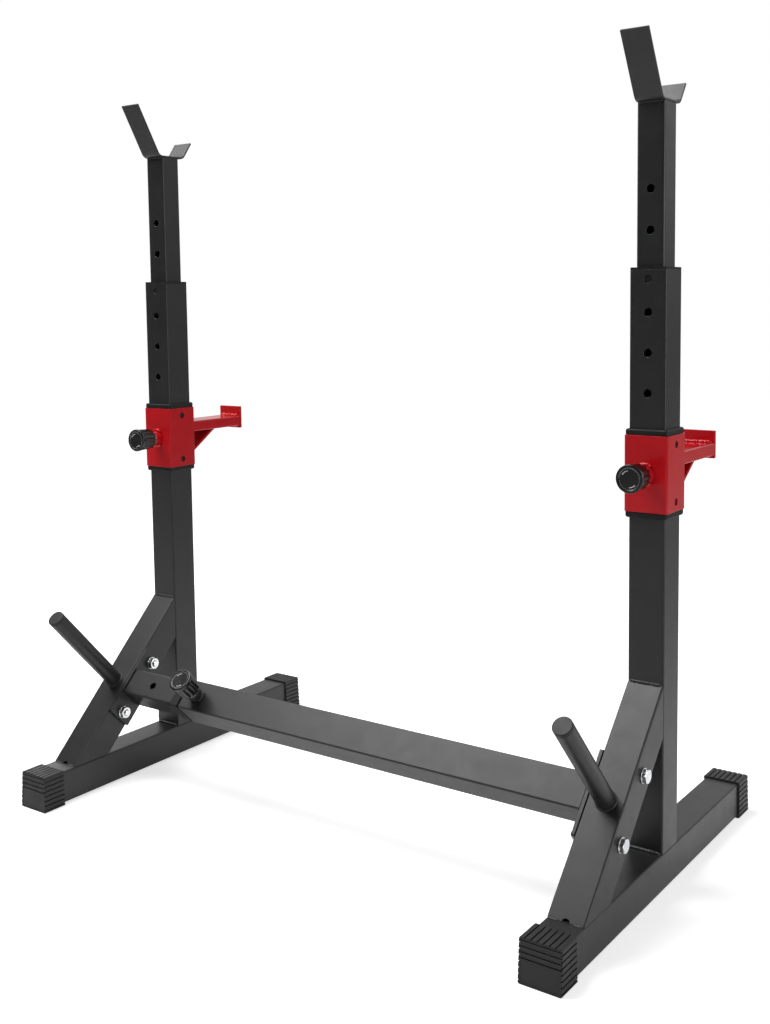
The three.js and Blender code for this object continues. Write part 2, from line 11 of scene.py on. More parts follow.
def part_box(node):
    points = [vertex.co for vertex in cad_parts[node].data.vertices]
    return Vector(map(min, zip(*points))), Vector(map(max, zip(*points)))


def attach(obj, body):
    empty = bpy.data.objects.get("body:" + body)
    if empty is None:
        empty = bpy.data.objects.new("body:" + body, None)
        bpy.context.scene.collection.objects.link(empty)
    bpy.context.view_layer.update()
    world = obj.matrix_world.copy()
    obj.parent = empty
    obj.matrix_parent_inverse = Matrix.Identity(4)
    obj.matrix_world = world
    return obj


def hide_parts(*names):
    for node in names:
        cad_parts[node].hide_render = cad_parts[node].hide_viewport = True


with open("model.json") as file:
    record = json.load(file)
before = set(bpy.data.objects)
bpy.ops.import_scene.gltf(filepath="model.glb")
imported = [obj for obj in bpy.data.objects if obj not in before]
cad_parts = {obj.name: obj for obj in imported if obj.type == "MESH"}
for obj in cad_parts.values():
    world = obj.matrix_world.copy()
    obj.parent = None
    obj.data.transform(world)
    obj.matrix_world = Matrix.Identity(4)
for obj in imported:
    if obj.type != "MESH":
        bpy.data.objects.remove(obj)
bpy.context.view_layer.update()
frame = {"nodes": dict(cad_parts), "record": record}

X = Vector((1, 0, 0))
Y = Vector((0, 1, 0))
Z = Vector((0, 0, 1))
HALF = 0.5
QUARTER = 0.25
GAP = 0.0003
SEAM = 0.00005
MERGE = 0.0000001

# Sizes of the square tubes
TUBE = 0.050
TUBE_WALL = 0.002
TUBE_CORNER = 0.0025
EDGE = 0.0005
CHAMFER = 0.0004
OVERRUN = 0.010

# Foot and caps
FOOT_NEAR = 0.310
FOOT_FAR = 0.293
CAP_WALL = 0.003
CAP_END = 0.006
CAP_LENGTH = 0.040
CAP_CORNER = 0.0032
CAP_ROUND = 0.0012
CAP_FACE_INSET = 0.0036
CAP_FLARE = 0.0012
CAP_FLARE_HEIGHT = 0.012
GROOVE_DEPTH = 0.0016
GROOVE_WIDTH = 0.0021
GROOVE_ROUND = 0.0010
CAP_LEAN = 0.0028
PANEL_DEPTH = 0.0005
PANEL_BORDER = 0.0025
SIDE_GROOVE_DROP = 0.0071
SIDE_GROOVE_PITCH = 0.0074
SIDE_GROOVES = 7
TOP_GROOVE_PITCH = 0.008
TOP_GROOVES = 6
END_GROOVE_PITCH = 0.0069
END_GROOVE_DROP = 0.0034
END_GROOVES = 4

# Upright, brace, peg
PIN_PITCH = 0.052
TOP_HOLE_DROP = 0.054
UPRIGHT_HOLES = 6
PIN_HOLE = 0.0055
BOSS_DROP = 0.012
BOSS_HOLE = 0.0050
BOSS = 0.0047
BOSS_RECESS = 0.0010
BUSHING_FLANGE = 0.003
BUSHING_SKIRT = 0.040
BUSHING_EDGE = 0.0002
BRACE_REACH = 0.2275
BRACE_ANGLE = math.pi / 4
VENT = 0.005
PEG_PLACE = 0.155
PEG_TILT = math.pi / 60
PEG = 0.013
PEG_WALL = 0.002
PEG_LENGTH = 0.175
PEG_CAP_HEAD = 0.004
PEG_CAP_ROUND = 0.0022

# Crossbar, its end plates and fasteners
BAR_PLACE = 0.161
PLATE_LENGTH = 0.118
PLATE = 0.005
BOLT_OFFSET = 0.0465
BOLT = 0.005
BOLT_HOLE = 0.0054
BOLT_TIP = 0.0105
THREAD_PITCH = 0.0015
THREAD_DEPTH = 0.0008
HEX = 0.017
HEAD = 0.0064
NUT = 0.008
WASHER = 0.010
WASHER_THICK = 0.0015
BAR_WALL = 0.0015
BAR_OPEN_END = -0.286
BAR_SPACE = 0.0015
BAR_PIN_FROM_END = 0.025
BAR_PITCH = 0.100
BAR_HOLE_NUMBERS = range(-1, 5)
LINER_FLANGE = 0.020
LINER_INSET = 0.0004
LINER_GAP = 0.0042
LINER_NECK = 0.0006
# Inset of the near-black ring that paints shade into the liner's seam
SHADE_RING_INSET = 0.0005
LINER_SKIRT = 0.014

# Post and hook
POST_SPACE = 0.004
POST_CORNER = 0.0035
POST_HOLE_DROP = 0.1085
POST_HOLES = 10
HOOK_PLATE = 0.0028
HOOK_EDGE = 0.0005
HOOK_BACK = 0.024
HOOK_FRONT = 0.0295
TALL_LIP = 0.092
TALL_LEAN = math.pi / 6
SHORT_LIP = 0.034
SHORT_LEAN = math.pi / 5
HOOK_BEND = 0.007

# Catch
SLEEVE_WALL = 0.002
SLEEVE_CORNER = 0.0036
SLEEVE_BOSS_INSET = 0.0125
SLEEVE_BOSS_RECESS = 0.0016
FLANGE_INSET = 0.001
CATCH_FLANGE = 0.0076
CATCH_SKIRT = 0.026
CATCH_FLANGE_SLOPE = 0.0016
ARM_INSET = 0.006
ARM_HEIGHT = 0.018
ARM_RISE = 0.006
ARM_CORNER = 0.0025
LIP_FACE = 0.121
LIP_HEIGHT = 0.039
LIP_THICK = 0.005
LIP_RISE = 0.002
STRUT_INSET = 0.004
STRUT_THICK = 0.004
STRUT_REACH = 0.058
STRUT_DROP = 0.0385

# Plunger
BARREL = 0.0115
BARREL_LENGTH = 0.028
BARREL_BORE = 0.0066
BOSS_LENGTH = 0.010
NECK_HEX = 0.0195
NECK = 0.0075
SHANK_HOLE = 0.0043
KNOB_FACE = 0.050
KNOB_LENGTH = 0.031
KNOB_HEAD = 0.007
KNOB_RADIUS = 0.0185
KNOB_EDGE = 0.0016
KNOB_BORE = 0.0123
KNOB_CAVITY = 0.041
GRIP_REAR = 0.0166
GRIP_FRONT = 0.0178
FLUTES = 12
FLUTE_DEPTH = 0.0019
FACE_RIM = 0.0035
FACE_DISH = 0.0008
MARK_HEIGHT = 0.0002
MARK_RADIUS = 0.0112
MARK_WIDTH = 0.0010
MARK_SPANS = ((0.278, 0.395), (0.747, 0.853))
MARK_POINT = 0.0013
MARK_POINT_TURN = 0.03
TICK_RADIUS = 0.0134
TICK_LENGTH = 0.0010
TICK_WIDTH = 0.0005
TICKS = 36

# Weld beads
WELD = 0.0028
LIP_WELD = 0.0038
BRACE_WELD = 0.0028
PEG_WELD = 0.0018
FOOT_WELD = 0.0036
VENT_WELD = 0.0026
WELD_SINK = 0.0016
TACK_WELD = 0.0033
HOOK_WELD = 0.0016
WELD_PITCH = 0.0020
WELD_STEPS = 5
WELD_SIDES = 10
WELD_SWELL_SHARE = 0.10
WELD_WANDER_SHARE = 0.12
WELD_END_SHARE = 0.02
STEEP_SHARE = 0.9
TACK_TURN_SHARE = 0.1

# Smoothness: steps of an arc or a turn, sides of a round shape
CORNER_STEPS = 8
EDGE_STEPS = 3
EDGE_SEGMENTS = 2
ROUND_SIDES = 64
HOLE_SIDES = 32
ARC_BEAD_STEPS = 32
THREAD_SIDES = 32
THREAD_STEPS = 8
HEX_SIDES = 72
HEX_STEPS = 6
PEG_CAP_STEPS = 6
HOOK_STEPS = 10
GRIP_STEPS = 6
HEAD_STEPS = 5
FLUTE_SIDES = 10
MARK_STEPS = 12
SHARP_ANGLE = math.radians(38)
HEX_HALF_SIDE = math.pi / 6

# Noises: scale, detail and roughness; and the strengths of their bumps
NOISE_SPAN = (0.3, 0.7)
DRIFT = (9.0, 10.0, 0.72)
RUB = (34.0, 8.0, 0.68)
BLACK_GRAIN = (1300.0, 3.0, 0.6)
RED_GRAIN = (900.0, 3.0, 0.6)
GRAIN_STRENGTH = 0.6
PEEL = (260.0, 2.0, 0.5)
PEEL_STRENGTH = 0.5
MOULD_DRIFT = (40.0, 3.0, 0.5)
MOULD_GRAIN = (1400.0, 2.0, 0.5)
MOULD_STRENGTH = 0.5
CLOUD = (220.0, 4.0, 0.5)
SCRATCH = (1800.0, 3.0, 0.5)
SCRATCH_STRENGTH = 0.4
SCRATCH_DEPTH = 0.00003
FLOOR_NOISE = (3.0, 2.0, 0.5)

# Looks: dark and light colour, roughness from and to, bump depths and specular level
COATS = {
    "black_powder_coat": {
        "dark": (0.0132, 0.0134, 0.0139), "light": (0.0178, 0.0180, 0.0185), "rough": (0.35, 0.43),
        "grain": BLACK_GRAIN, "grain_depth": 0.00014, "peel_depth": 0.00007, "level": 0.42},
    "red_powder_coat": {
        "dark": (0.46, 0.006, 0.011), "light": (0.52, 0.009, 0.015), "rough": (0.10, 0.17),
        "grain": RED_GRAIN, "grain_depth": 0.00001, "peel_depth": 0.00003, "level": 0.32},
}
MOULDINGS = {
    "cap_rubber": {
        "dark": (0.013, 0.013, 0.014), "light": (0.019, 0.019, 0.020), "rough": (0.46, 0.62),
        "depth": 0.00005, "level": 0.38},
    "black_plastic": {
        "dark": (0.008, 0.008, 0.0085), "light": (0.012, 0.012, 0.0125), "rough": (0.46, 0.60),
        "depth": 0.00003, "level": 0.22},
    "peg_plastic": {
        "dark": (0.016, 0.016, 0.0165), "light": (0.021, 0.021, 0.0215), "rough": (0.42, 0.56),
        "depth": 0.00003, "level": 0.33},
    # Near-black, matt material for the ring in the crossbar liner's seam: painted shade standing for
    # the shadow deep in the gap
    "painted_seam_shade": {
        "dark": (0.0015, 0.0015, 0.0015), "light": (0.0022, 0.0022, 0.0022), "rough": (0.8, 0.9),
        "depth": 0.00005, "level": 0.05},
    "knob_plastic": {
        "dark": (0.005, 0.005, 0.0055), "light": (0.008, 0.008, 0.0085), "rough": (0.16, 0.26),
        "depth": 0.00002, "level": 0.5},
    "mark_paint": {
        "dark": (0.50, 0.50, 0.505), "light": (0.58, 0.58, 0.585), "rough": (0.40, 0.55),
        "depth": 0.00002, "level": 0.4},
}
ZINC_DARK = (0.60, 0.62, 0.66)
ZINC_LIGHT = (0.86, 0.86, 0.84)
ZINC_ROUGH = (0.16, 0.32)
FLOOR_DARK = (0.90, 0.90, 0.90)
FLOOR_LIGHT = (0.93, 0.93, 0.93)
FLOOR_ROUGHNESS = 0.9
FLOOR_LEVEL = 0.1

record = frame["record"]
body_of = {n: b for b, nodes in record["behaviour"]["bodies"].items() for n in nodes}
slot_of = {s["node"]: s["material_slot"] for s in record["subparts"]}
POST = TUBE - 2 * (TUBE_WALL + POST_SPACE)
INNER_BAR = TUBE - 2 * (BAR_WALL + BAR_SPACE)
materials = {}


def along(origin, z_dir, y_dir):
    """Matrix of a frame at origin whose Z is z_dir and whose Y is y_dir"""
    z = Vector(z_dir).normalized()
    y = Vector(y_dir).normalized()
    x = y.cross(z)
    m = Matrix((x, y, z)).transposed().to_4x4()
    m.translation = Vector(origin)
    return m


def soften(points, radius, closed=True, steps=EDGE_STEPS):
    """Rounds the corners of a 2D outline with arcs of one radius, shortened where sides are short"""
    count = len(points)
    out = []
    for i, p in enumerate(points):
        if not closed and i in (0, count - 1):
            out.append(Vector(p))
            continue
        here = Vector(p)
        before = Vector(points[i - 1]) - here
        after = Vector(points[(i + 1) % count]) - here
        reach = min(radius, before.length * HALF, after.length * HALF)
        start = here + before.normalized() * reach
        end = here + after.normalized() * reach
        for k in range(steps + 1):
            t = k / steps
            out.append(start * (1 - t) ** 2 + here * 2 * t * (1 - t) + end * t ** 2)
    return [tuple(v) for v in out]


def box_ring(width, depth, corner, steps=CORNER_STEPS):
    """Rings of a rounded rectangle; a ring's first number is how far it is drawn in"""
    def ring(inset, z):
        points = []
        round_off = max(corner - inset, EDGE)
        for k, (sx, sy) in enumerate(((1, 1), (-1, 1), (-1, -1), (1, -1))):
            cx = sx * (width * HALF - inset - round_off)
            cy = sy * (depth * HALF - inset - round_off)
            for i in range(steps + 1):
                a = (k + i / steps) * math.pi / 2
                points.append((cx + round_off * math.cos(a), cy + round_off * math.sin(a), z))
        return points
    return ring


def round_ring(shape=None, sides=ROUND_SIDES):
    """Rings round Z; a ring's first number is its radius, which shape may change by angle and height"""
    def ring(radius, z):
        points = []
        for i in range(sides):
            a = 2 * math.pi * i / sides
            r = shape(a, radius, z) if shape else radius
            points.append((r * math.cos(a), r * math.sin(a), z))
        return points
    return ring


def loft(name, profile, ring, closed=False):
    """Mesh object through one ring for each point of the profile, capped or closed on itself"""
    rings = [ring(a, z) for a, z in profile]
    return skin(name, rings, closed)


def skin(name, rings, closed=False):
    n = len(rings[0])
    verts = [p for r in rings for p in r]
    faces = []
    spans = len(rings) if closed else len(rings) - 1
    for j in range(spans):
        a = j * n
        b = ((j + 1) % len(rings)) * n
        for i in range(n):
            k = (i + 1) % n
            faces.append((a + i, a + k, b + k, b + i))
    if not closed:
        faces.append(tuple(reversed(range(n))))
        faces.append(tuple(range((len(rings) - 1) * n, len(rings) * n)))
    return mesh_object(name, verts, faces)


def mesh_object(name, verts, faces):
    mesh = bpy.data.meshes.new(name)
    mesh.from_pydata([tuple(v) for v in verts], [], faces)
    mesh.validate()
    obj = bpy.data.objects.new(name, mesh)
    bpy.context.scene.collection.objects.link(obj)
    return outward(obj)


def outward(obj):
    """Turns the faces so that they point out"""
    bm = bmesh.new()
    bm.from_mesh(obj.data)
    bmesh.ops.remove_doubles(bm, verts=bm.verts, dist=MERGE)
    bmesh.ops.recalc_face_normals(bm, faces=bm.faces)
    bm.to_mesh(obj.data)
    bm.free()
    return obj


def applied(obj):
    graph = bpy.context.evaluated_depsgraph_get()
    mesh = bpy.data.meshes.new_from_object(obj.evaluated_get(graph))
    old = obj.data
    obj.modifiers.clear()
    obj.data = mesh
    bpy.data.meshes.remove(old)
    return obj


def moved(obj, matrix):
    obj.data.transform(matrix)
    return obj


def joined(name, objs):
    """One object from several meshes"""
    verts = []
    faces = []
    for o in objs:
        start = len(verts)
        verts += [v.co.copy() for v in o.data.vertices]
        faces += [tuple(start + i for i in p.vertices) for p in o.data.polygons]
        mesh = o.data
        bpy.data.objects.remove(o)
        bpy.data.meshes.remove(mesh)
    mesh = bpy.data.meshes.new(name)
    mesh.from_pydata([tuple(v) for v in verts], [], faces)
    obj = bpy.data.objects.new(name, mesh)
    bpy.context.scene.collection.objects.link(obj)
    return obj


def cut(obj, tools):
    tool = joined("tool", tools)
    change = obj.modifiers.new("cut", "BOOLEAN")
    change.operation = "DIFFERENCE"
    change.solver = "EXACT"
    change.object = tool
    applied(obj)
    mesh = tool.data
    bpy.data.objects.remove(tool)
    bpy.data.meshes.remove(mesh)
    return obj


def rounded_edges(obj, width):
    change = obj.modifiers.new("edges", "BEVEL")
    change.width = width
    change.segments = EDGE_SEGMENTS
    change.limit_method = "ANGLE"
    change.angle_limit = SHARP_ANGLE
    return applied(obj)


def shaded(obj):
    for p in obj.data.polygons:
        p.use_smooth = True
    obj.data.set_sharp_from_angle(angle=SHARP_ANGLE)
    change = obj.modifiers.new("normals", "WEIGHTED_NORMAL")
    change.keep_sharp = True
    return applied(obj)


def dress(obj, node, matrix=None, look=None):
    """Finishes a piece that stands for a CAD node: place, shading, material, body and slot"""
    if matrix:
        moved(obj, matrix)
    shaded(obj)
    slot_name = slot_of[node]
    obj.data.materials.append(look or materials[slot_name])
    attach(obj, body_of[node])
    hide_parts(node)


def trim(obj, body, slot_name, look=None):
    """Finishes a piece that has no CAD node of its own"""
    shaded(obj)
    obj.data.materials.append(look or materials[slot_name])
    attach(obj, body)


def hole(radius, depth):
    """Cutter for a hole from the plane z = 0 downwards, with a small chamfer at its mouth"""
    profile = [(radius, -depth), (radius, -CHAMFER), (radius + CHAMFER, 0),
               (radius + CHAMFER, OVERRUN)]
    return loft("hole", profile, round_ring(sides=HOLE_SIDES))


def tube(name, width, depth, wall, length, corner):
    profile = soften([(0, 0), (0, length), (wall, length), (wall, 0)], EDGE)
    return loft(name, profile, box_ring(width, depth, corner), closed=True)


def block(name, width, depth, length, corner, edge=EDGE):
    profile = soften([(edge * 2, 0), (0, 0), (0, length), (edge * 2, length)], edge, closed=False)
    return loft(name, profile, box_ring(width, depth, corner))


def slot(width, depth, length):
    """Cutter with sharp edges, centred on the plane z = 0"""
    corners = [(sx * width * HALF, sy * depth * HALF)
               for sx, sy in ((1, 1), (-1, 1), (-1, -1), (1, -1))]
    return skin("slot", [[(px, py, h * length * HALF) for px, py in corners] for h in (-1, 1)])


# Weld beads: a rippled bead along a line
def bead(path, radius=WELD, closed=False, seed=0):
    points = [Vector(p) for p in path]
    if closed:
        points.append(points[0])
    lengths = [0.0]
    for a, b in zip(points, points[1:]):
        lengths.append(lengths[-1] + (b - a).length)
    total = lengths[-1]
    ripples = max(2, round(total / WELD_PITCH))
    draw = random.Random(seed)
    swell = [1 + WELD_SWELL_SHARE * HALF * draw.uniform(-1, 1) for _ in range(ripples + 1)]
    drift = [radius * WELD_WANDER_SHARE * draw.uniform(-1, 1) for _ in range(ripples + 1)]
    if closed:
        swell[-1] = swell[0]
        drift[-1] = drift[0]
    count = ripples * WELD_STEPS
    rings = []
    index = 0
    for j in range(count + (0 if closed else 1)):
        s = total * j / count
        while index < len(points) - 2 and lengths[index + 1] < s:
            index += 1
        span = lengths[index + 1] - lengths[index]
        t = (s - lengths[index]) / span if span else 0
        centre = points[index].lerp(points[index + 1], t)
        tangent = (points[index + 1] - points[index]).normalized()
        side = tangent.cross(Z if abs(tangent.z) < STEEP_SHARE else Y).normalized()
        up = side.cross(tangent)
        u = (j / WELD_STEPS) % 1
        k = min(j // WELD_STEPS, ripples - 1)
        share = j / WELD_STEPS - k
        r = radius * (swell[k] * (1 - share) + swell[k + 1] * share)
        r *= 1 - WELD_SWELL_SHARE * HALF + WELD_SWELL_SHARE * math.sqrt(max(0, 1 - u * u))
        centre = centre + side * (drift[k] * (1 - share) + drift[k + 1] * share)
        if not closed:
            from_end = min(s, total - s) / radius
            r *= math.sqrt(max(WELD_END_SHARE, 1 - max(0, 1 - from_end) ** 2))
        rings.append([centre + (side * math.cos(a) + up * math.sin(a)) * r
                      for a in (2 * math.pi * i / WELD_SIDES for i in range(WELD_SIDES))])
    return skin("bead", rings, closed)


def line_bead(matrix, half_length, y, z, radius=WELD, seed=0):
    """Bead along X of a frame"""
    return bead([matrix @ Vector((-half_length, y, z)), matrix @ Vector((half_length, y, z))],
                radius, seed=seed)


def ring_bead(matrix, radius, start, end, z=0, size=WELD, seed=0):
    """Bead along an arc round Z of a frame, from start to end in turns"""
    closed = end - start >= 1
    path = []
    for i in range(ARC_BEAD_STEPS + (0 if closed else 1)):
        a = 2 * math.pi * (start + (end - start) * i / ARC_BEAD_STEPS)
        path.append(matrix @ Vector((radius * math.cos(a), radius * math.sin(a), z)))
    return bead(path, size, closed, seed)


# Materials
def blank(name):
    mat = bpy.data.materials.new(name)
    mat.use_nodes = True
    nodes = mat.node_tree.nodes
    return mat, nodes, mat.node_tree.links, nodes["Principled BSDF"]


def noise(nodes, links, scale, detail, roughness):
    coords = nodes.new("ShaderNodeTexCoord")
    tex = nodes.new("ShaderNodeTexNoise")
    tex.inputs["Scale"].default_value = scale
    tex.inputs["Detail"].default_value = detail
    tex.inputs["Roughness"].default_value = roughness
    links.new(coords.outputs["Object"], tex.inputs["Vector"])
    return tex.outputs["Fac"]


def ranged(nodes, links, value, low, high, source=NOISE_SPAN):
    """Socket that runs from low to high while the value runs over its source span"""
    node = nodes.new("ShaderNodeMapRange")
    node.inputs["From Min"].default_value = source[0]
    node.inputs["From Max"].default_value = source[1]
    node.inputs["To Min"].default_value = low
    node.inputs["To Max"].default_value = high
    links.new(value, node.inputs["Value"])
    return node.outputs["Result"]


def tinted(nodes, links, value, dark, light):
    """Colour that runs from dark to light with a noise"""
    ramp = nodes.new("ShaderNodeValToRGB")
    for element, place, colour in zip(ramp.color_ramp.elements, NOISE_SPAN, (dark, light)):
        element.position = place
        element.color = (*colour, 1)
    links.new(value, ramp.inputs["Fac"])
    return ramp.outputs["Color"]


def bumped(nodes, links, shader, layers):
    """Chains bumps; a layer is its height, strength and depth"""
    last = None
    for height, strength, depth in layers:
        bump = nodes.new("ShaderNodeBump")
        bump.inputs["Strength"].default_value = strength
        bump.inputs["Distance"].default_value = depth
        links.new(height, bump.inputs["Height"])
        if last:
            links.new(last, bump.inputs["Normal"])
        last = bump.outputs["Normal"]
    links.new(last, shader.inputs["Normal"])


def coat(name, dark, light, rough, grain, grain_depth, peel_depth, level):
    """Powder coat: broad colour drift, fine grain and a softer orange peel"""
    mat, nodes, links, shader = blank(name)
    drift = noise(nodes, links, *DRIFT)
    links.new(tinted(nodes, links, drift, dark, light), shader.inputs["Base Color"])
    rub = noise(nodes, links, *RUB)
    fine = noise(nodes, links, *grain)
    peel = noise(nodes, links, *PEEL)
    links.new(ranged(nodes, links, rub, *rough), shader.inputs["Roughness"])
    shader.inputs["Specular IOR Level"].default_value = level
    bumped(nodes, links, shader, [(peel, PEEL_STRENGTH, peel_depth),
                                  (fine, GRAIN_STRENGTH, grain_depth)])
    return mat


def moulded(name, dark, light, rough, depth, level):
    """Moulded plastic or rubber"""
    mat, nodes, links, shader = blank(name)
    drift = noise(nodes, links, *MOULD_DRIFT)
    links.new(tinted(nodes, links, drift, dark, light), shader.inputs["Base Color"])
    fine = noise(nodes, links, *MOULD_GRAIN)
    links.new(ranged(nodes, links, drift, *rough), shader.inputs["Roughness"])
    shader.inputs["Specular IOR Level"].default_value = level
    bumped(nodes, links, shader, [(fine, MOULD_STRENGTH, depth)])
    return mat


def plated(name):
    """Bright zinc plating with faint cloudiness and fine scratches"""
    mat, nodes, links, shader = blank(name)
    shader.inputs["Metallic"].default_value = 1.0
    cloud = noise(nodes, links, *CLOUD)
    links.new(tinted(nodes, links, cloud, ZINC_DARK, ZINC_LIGHT), shader.inputs["Base Color"])
    fine = noise(nodes, links, *SCRATCH)
    links.new(ranged(nodes, links, cloud, *ZINC_ROUGH), shader.inputs["Roughness"])
    bumped(nodes, links, shader, [(fine, SCRATCH_STRENGTH, SCRATCH_DEPTH)])
    return mat


def make_materials():
    for name, look in COATS.items():
        materials[name] = coat(name, **look)
    for name, look in MOULDINGS.items():
        materials[name] = moulded(name, **look)
    materials["zinc_plate"] = plated("zinc_plate")


# Foot
def flare(height):
    """How far a cap's side stands out at a height above its middle"""
    fall = min(1, max(0, (CAP_FLARE_HEIGHT - TUBE * HALF - CAP_WALL - height) / CAP_FLARE_HEIGHT))
    return fall * fall * CAP_FLARE


def foot_cap(node, matrix):
    """Ribbed cap along Z from its closed end, with +Y up"""
    size = TUBE + 2 * CAP_WALL
    h = size * HALF
    profile = soften([(CAP_FACE_INSET, 0), (0, 0), (0, CAP_LENGTH), (CAP_FACE_INSET, CAP_LENGTH)],
                     CAP_ROUND, closed=False)
    cap = loft(f"fine_{node}", profile, box_ring(size, size, CAP_CORNER))
    for v in cap.data.vertices:
        v.co.x *= 1 + flare(v.co.y) / h
    inside = TUBE + 2 * GAP
    pocket = block("pocket", inside, inside, CAP_LENGTH, TUBE_CORNER)
    tools = [moved(pocket, Matrix.Translation((0, 0, CAP_END)))]
    deep = 2 * GROOVE_DEPTH
    run = 2 * (CAP_LENGTH + OVERRUN)
    for i in range(SIDE_GROOVES):
        y = h - SIDE_GROOVE_DROP - i * SIDE_GROOVE_PITCH
        for way in (-1, 1):
            groove = slot(deep, GROOVE_WIDTH, run)
            tools.append(moved(groove, Matrix.Translation((way * (h + flare(y)), y, 0))))
    for i in range(TOP_GROOVES):
        x = (i - (TOP_GROOVES - 1) * HALF) * TOP_GROOVE_PITCH
        tools.append(moved(slot(GROOVE_WIDTH, deep, run), Matrix.Translation((x, h, 0))))
    cut(cap, tools)
    tools = []
    for i in range(END_GROOVES):
        y = h - END_GROOVE_DROP - i * END_GROOVE_PITCH
        groove = slot(size + 2 * CAP_WALL, GROOVE_WIDTH, deep)
        tools.append(moved(groove, Matrix.Translation((0, y, 0))))
    lowest = h - END_GROOVE_DROP - (END_GROOVES - 1) * END_GROOVE_PITCH
    top = lowest - END_GROOVE_PITCH * HALF
    bottom = PANEL_BORDER - h
    panel = slot(size - 2 * PANEL_BORDER, top - bottom, 2 * PANEL_DEPTH)
    tools.append(moved(panel, Matrix.Translation((0, (top + bottom) * HALF, 0))))
    cut(cap, tools)
    rounded_edges(cap, GROOVE_ROUND)
    for v in cap.data.vertices:
        if v.co.z < CAP_END:
            v.co.z += CAP_LEAN * (v.co.y + h) / size * (1 - v.co.z / CAP_END)
    dress(cap, node, matrix)


def make_foot(side, x, y):
    middle = CAP_WALL + TUBE * HALF
    foot = tube(f"fine_{side}_foot_tube", TUBE, TUBE, TUBE_WALL, FOOT_NEAR + FOOT_FAR, TUBE_CORNER)
    dress(foot, f"{side}_foot_tube", along((x, y - FOOT_NEAR, middle), Y, Z))
    end = CAP_END + GAP
    foot_cap(f"{side}_near_foot_cap", along((x, y - FOOT_NEAR - end, middle), Y, Z))
    foot_cap(f"{side}_far_foot_cap", along((x, y + FOOT_FAR + end, middle), -Y, Z))


# Upright
def pin_holes(face_y, heights, radius, depth=OVERRUN):
    return [moved(hole(radius, depth), along((0, face_y, z), -Y, Z)) for z in heights]


def make_upright(side, x, y):
    low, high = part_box(f"{side}_upright_tube")
    at = Matrix.Translation((x, y, 0))
    upright = tube(f"fine_{side}_upright_tube", TUBE, TUBE, TUBE_WALL, high.z - low.z, TUBE_CORNER)
    moved(upright, Matrix.Translation((0, 0, low.z)))
    top_hole = high.z - TOP_HOLE_DROP
    heights = [top_hole - i * PIN_PITCH for i in range(UPRIGHT_HOLES)]
    tools = pin_holes(-TUBE * HALF, heights, PIN_HOLE)
    tools += pin_holes(-TUBE * HALF, [high.z - BOSS_DROP], BOSS_HOLE)
    cut(upright, tools)
    dress(upright, f"{side}_upright_tube", at)

    skirt = TUBE_WALL + GAP
    bore = (TUBE - POST) * HALF - GAP
    seat = high.z + SEAM
    top = high.z + BUSHING_FLANGE
    profile = soften([(0, seat), (0, top), (bore, top), (bore, high.z - BUSHING_SKIRT),
                      (skirt, high.z - BUSHING_SKIRT), (skirt, seat)], BUSHING_EDGE)
    bushing = loft("bushing", profile, box_ring(TUBE, TUBE, TUBE_CORNER), closed=True)
    depth = TUBE_WALL + GAP - BOSS_RECESS
    boss = loft("boss", soften([(BOSS * HALF, -TUBE_WALL), (BOSS, -TUBE_WALL), (BOSS, depth),
                                (BOSS * HALF, depth)], EDGE, closed=False), round_ring())
    moved(boss, along((0, -TUBE * HALF + skirt, high.z - BOSS_DROP), -Y, Z))
    dress(joined(f"fine_{side}_upright_bushing", [bushing, boss]), f"{side}_upright_bushing", at)
    return at


# Brace, peg and the crossbar's bolted plate
def brace_frame(x, y):
    foot_top = CAP_WALL + TUBE
    up = Vector((0, math.cos(BRACE_ANGLE), math.sin(BRACE_ANGLE)))
    out = Vector((0, -math.sin(BRACE_ANGLE), math.cos(BRACE_ANGLE)))
    return along((x, y - TUBE * HALF - BRACE_REACH, foot_top), out, up)


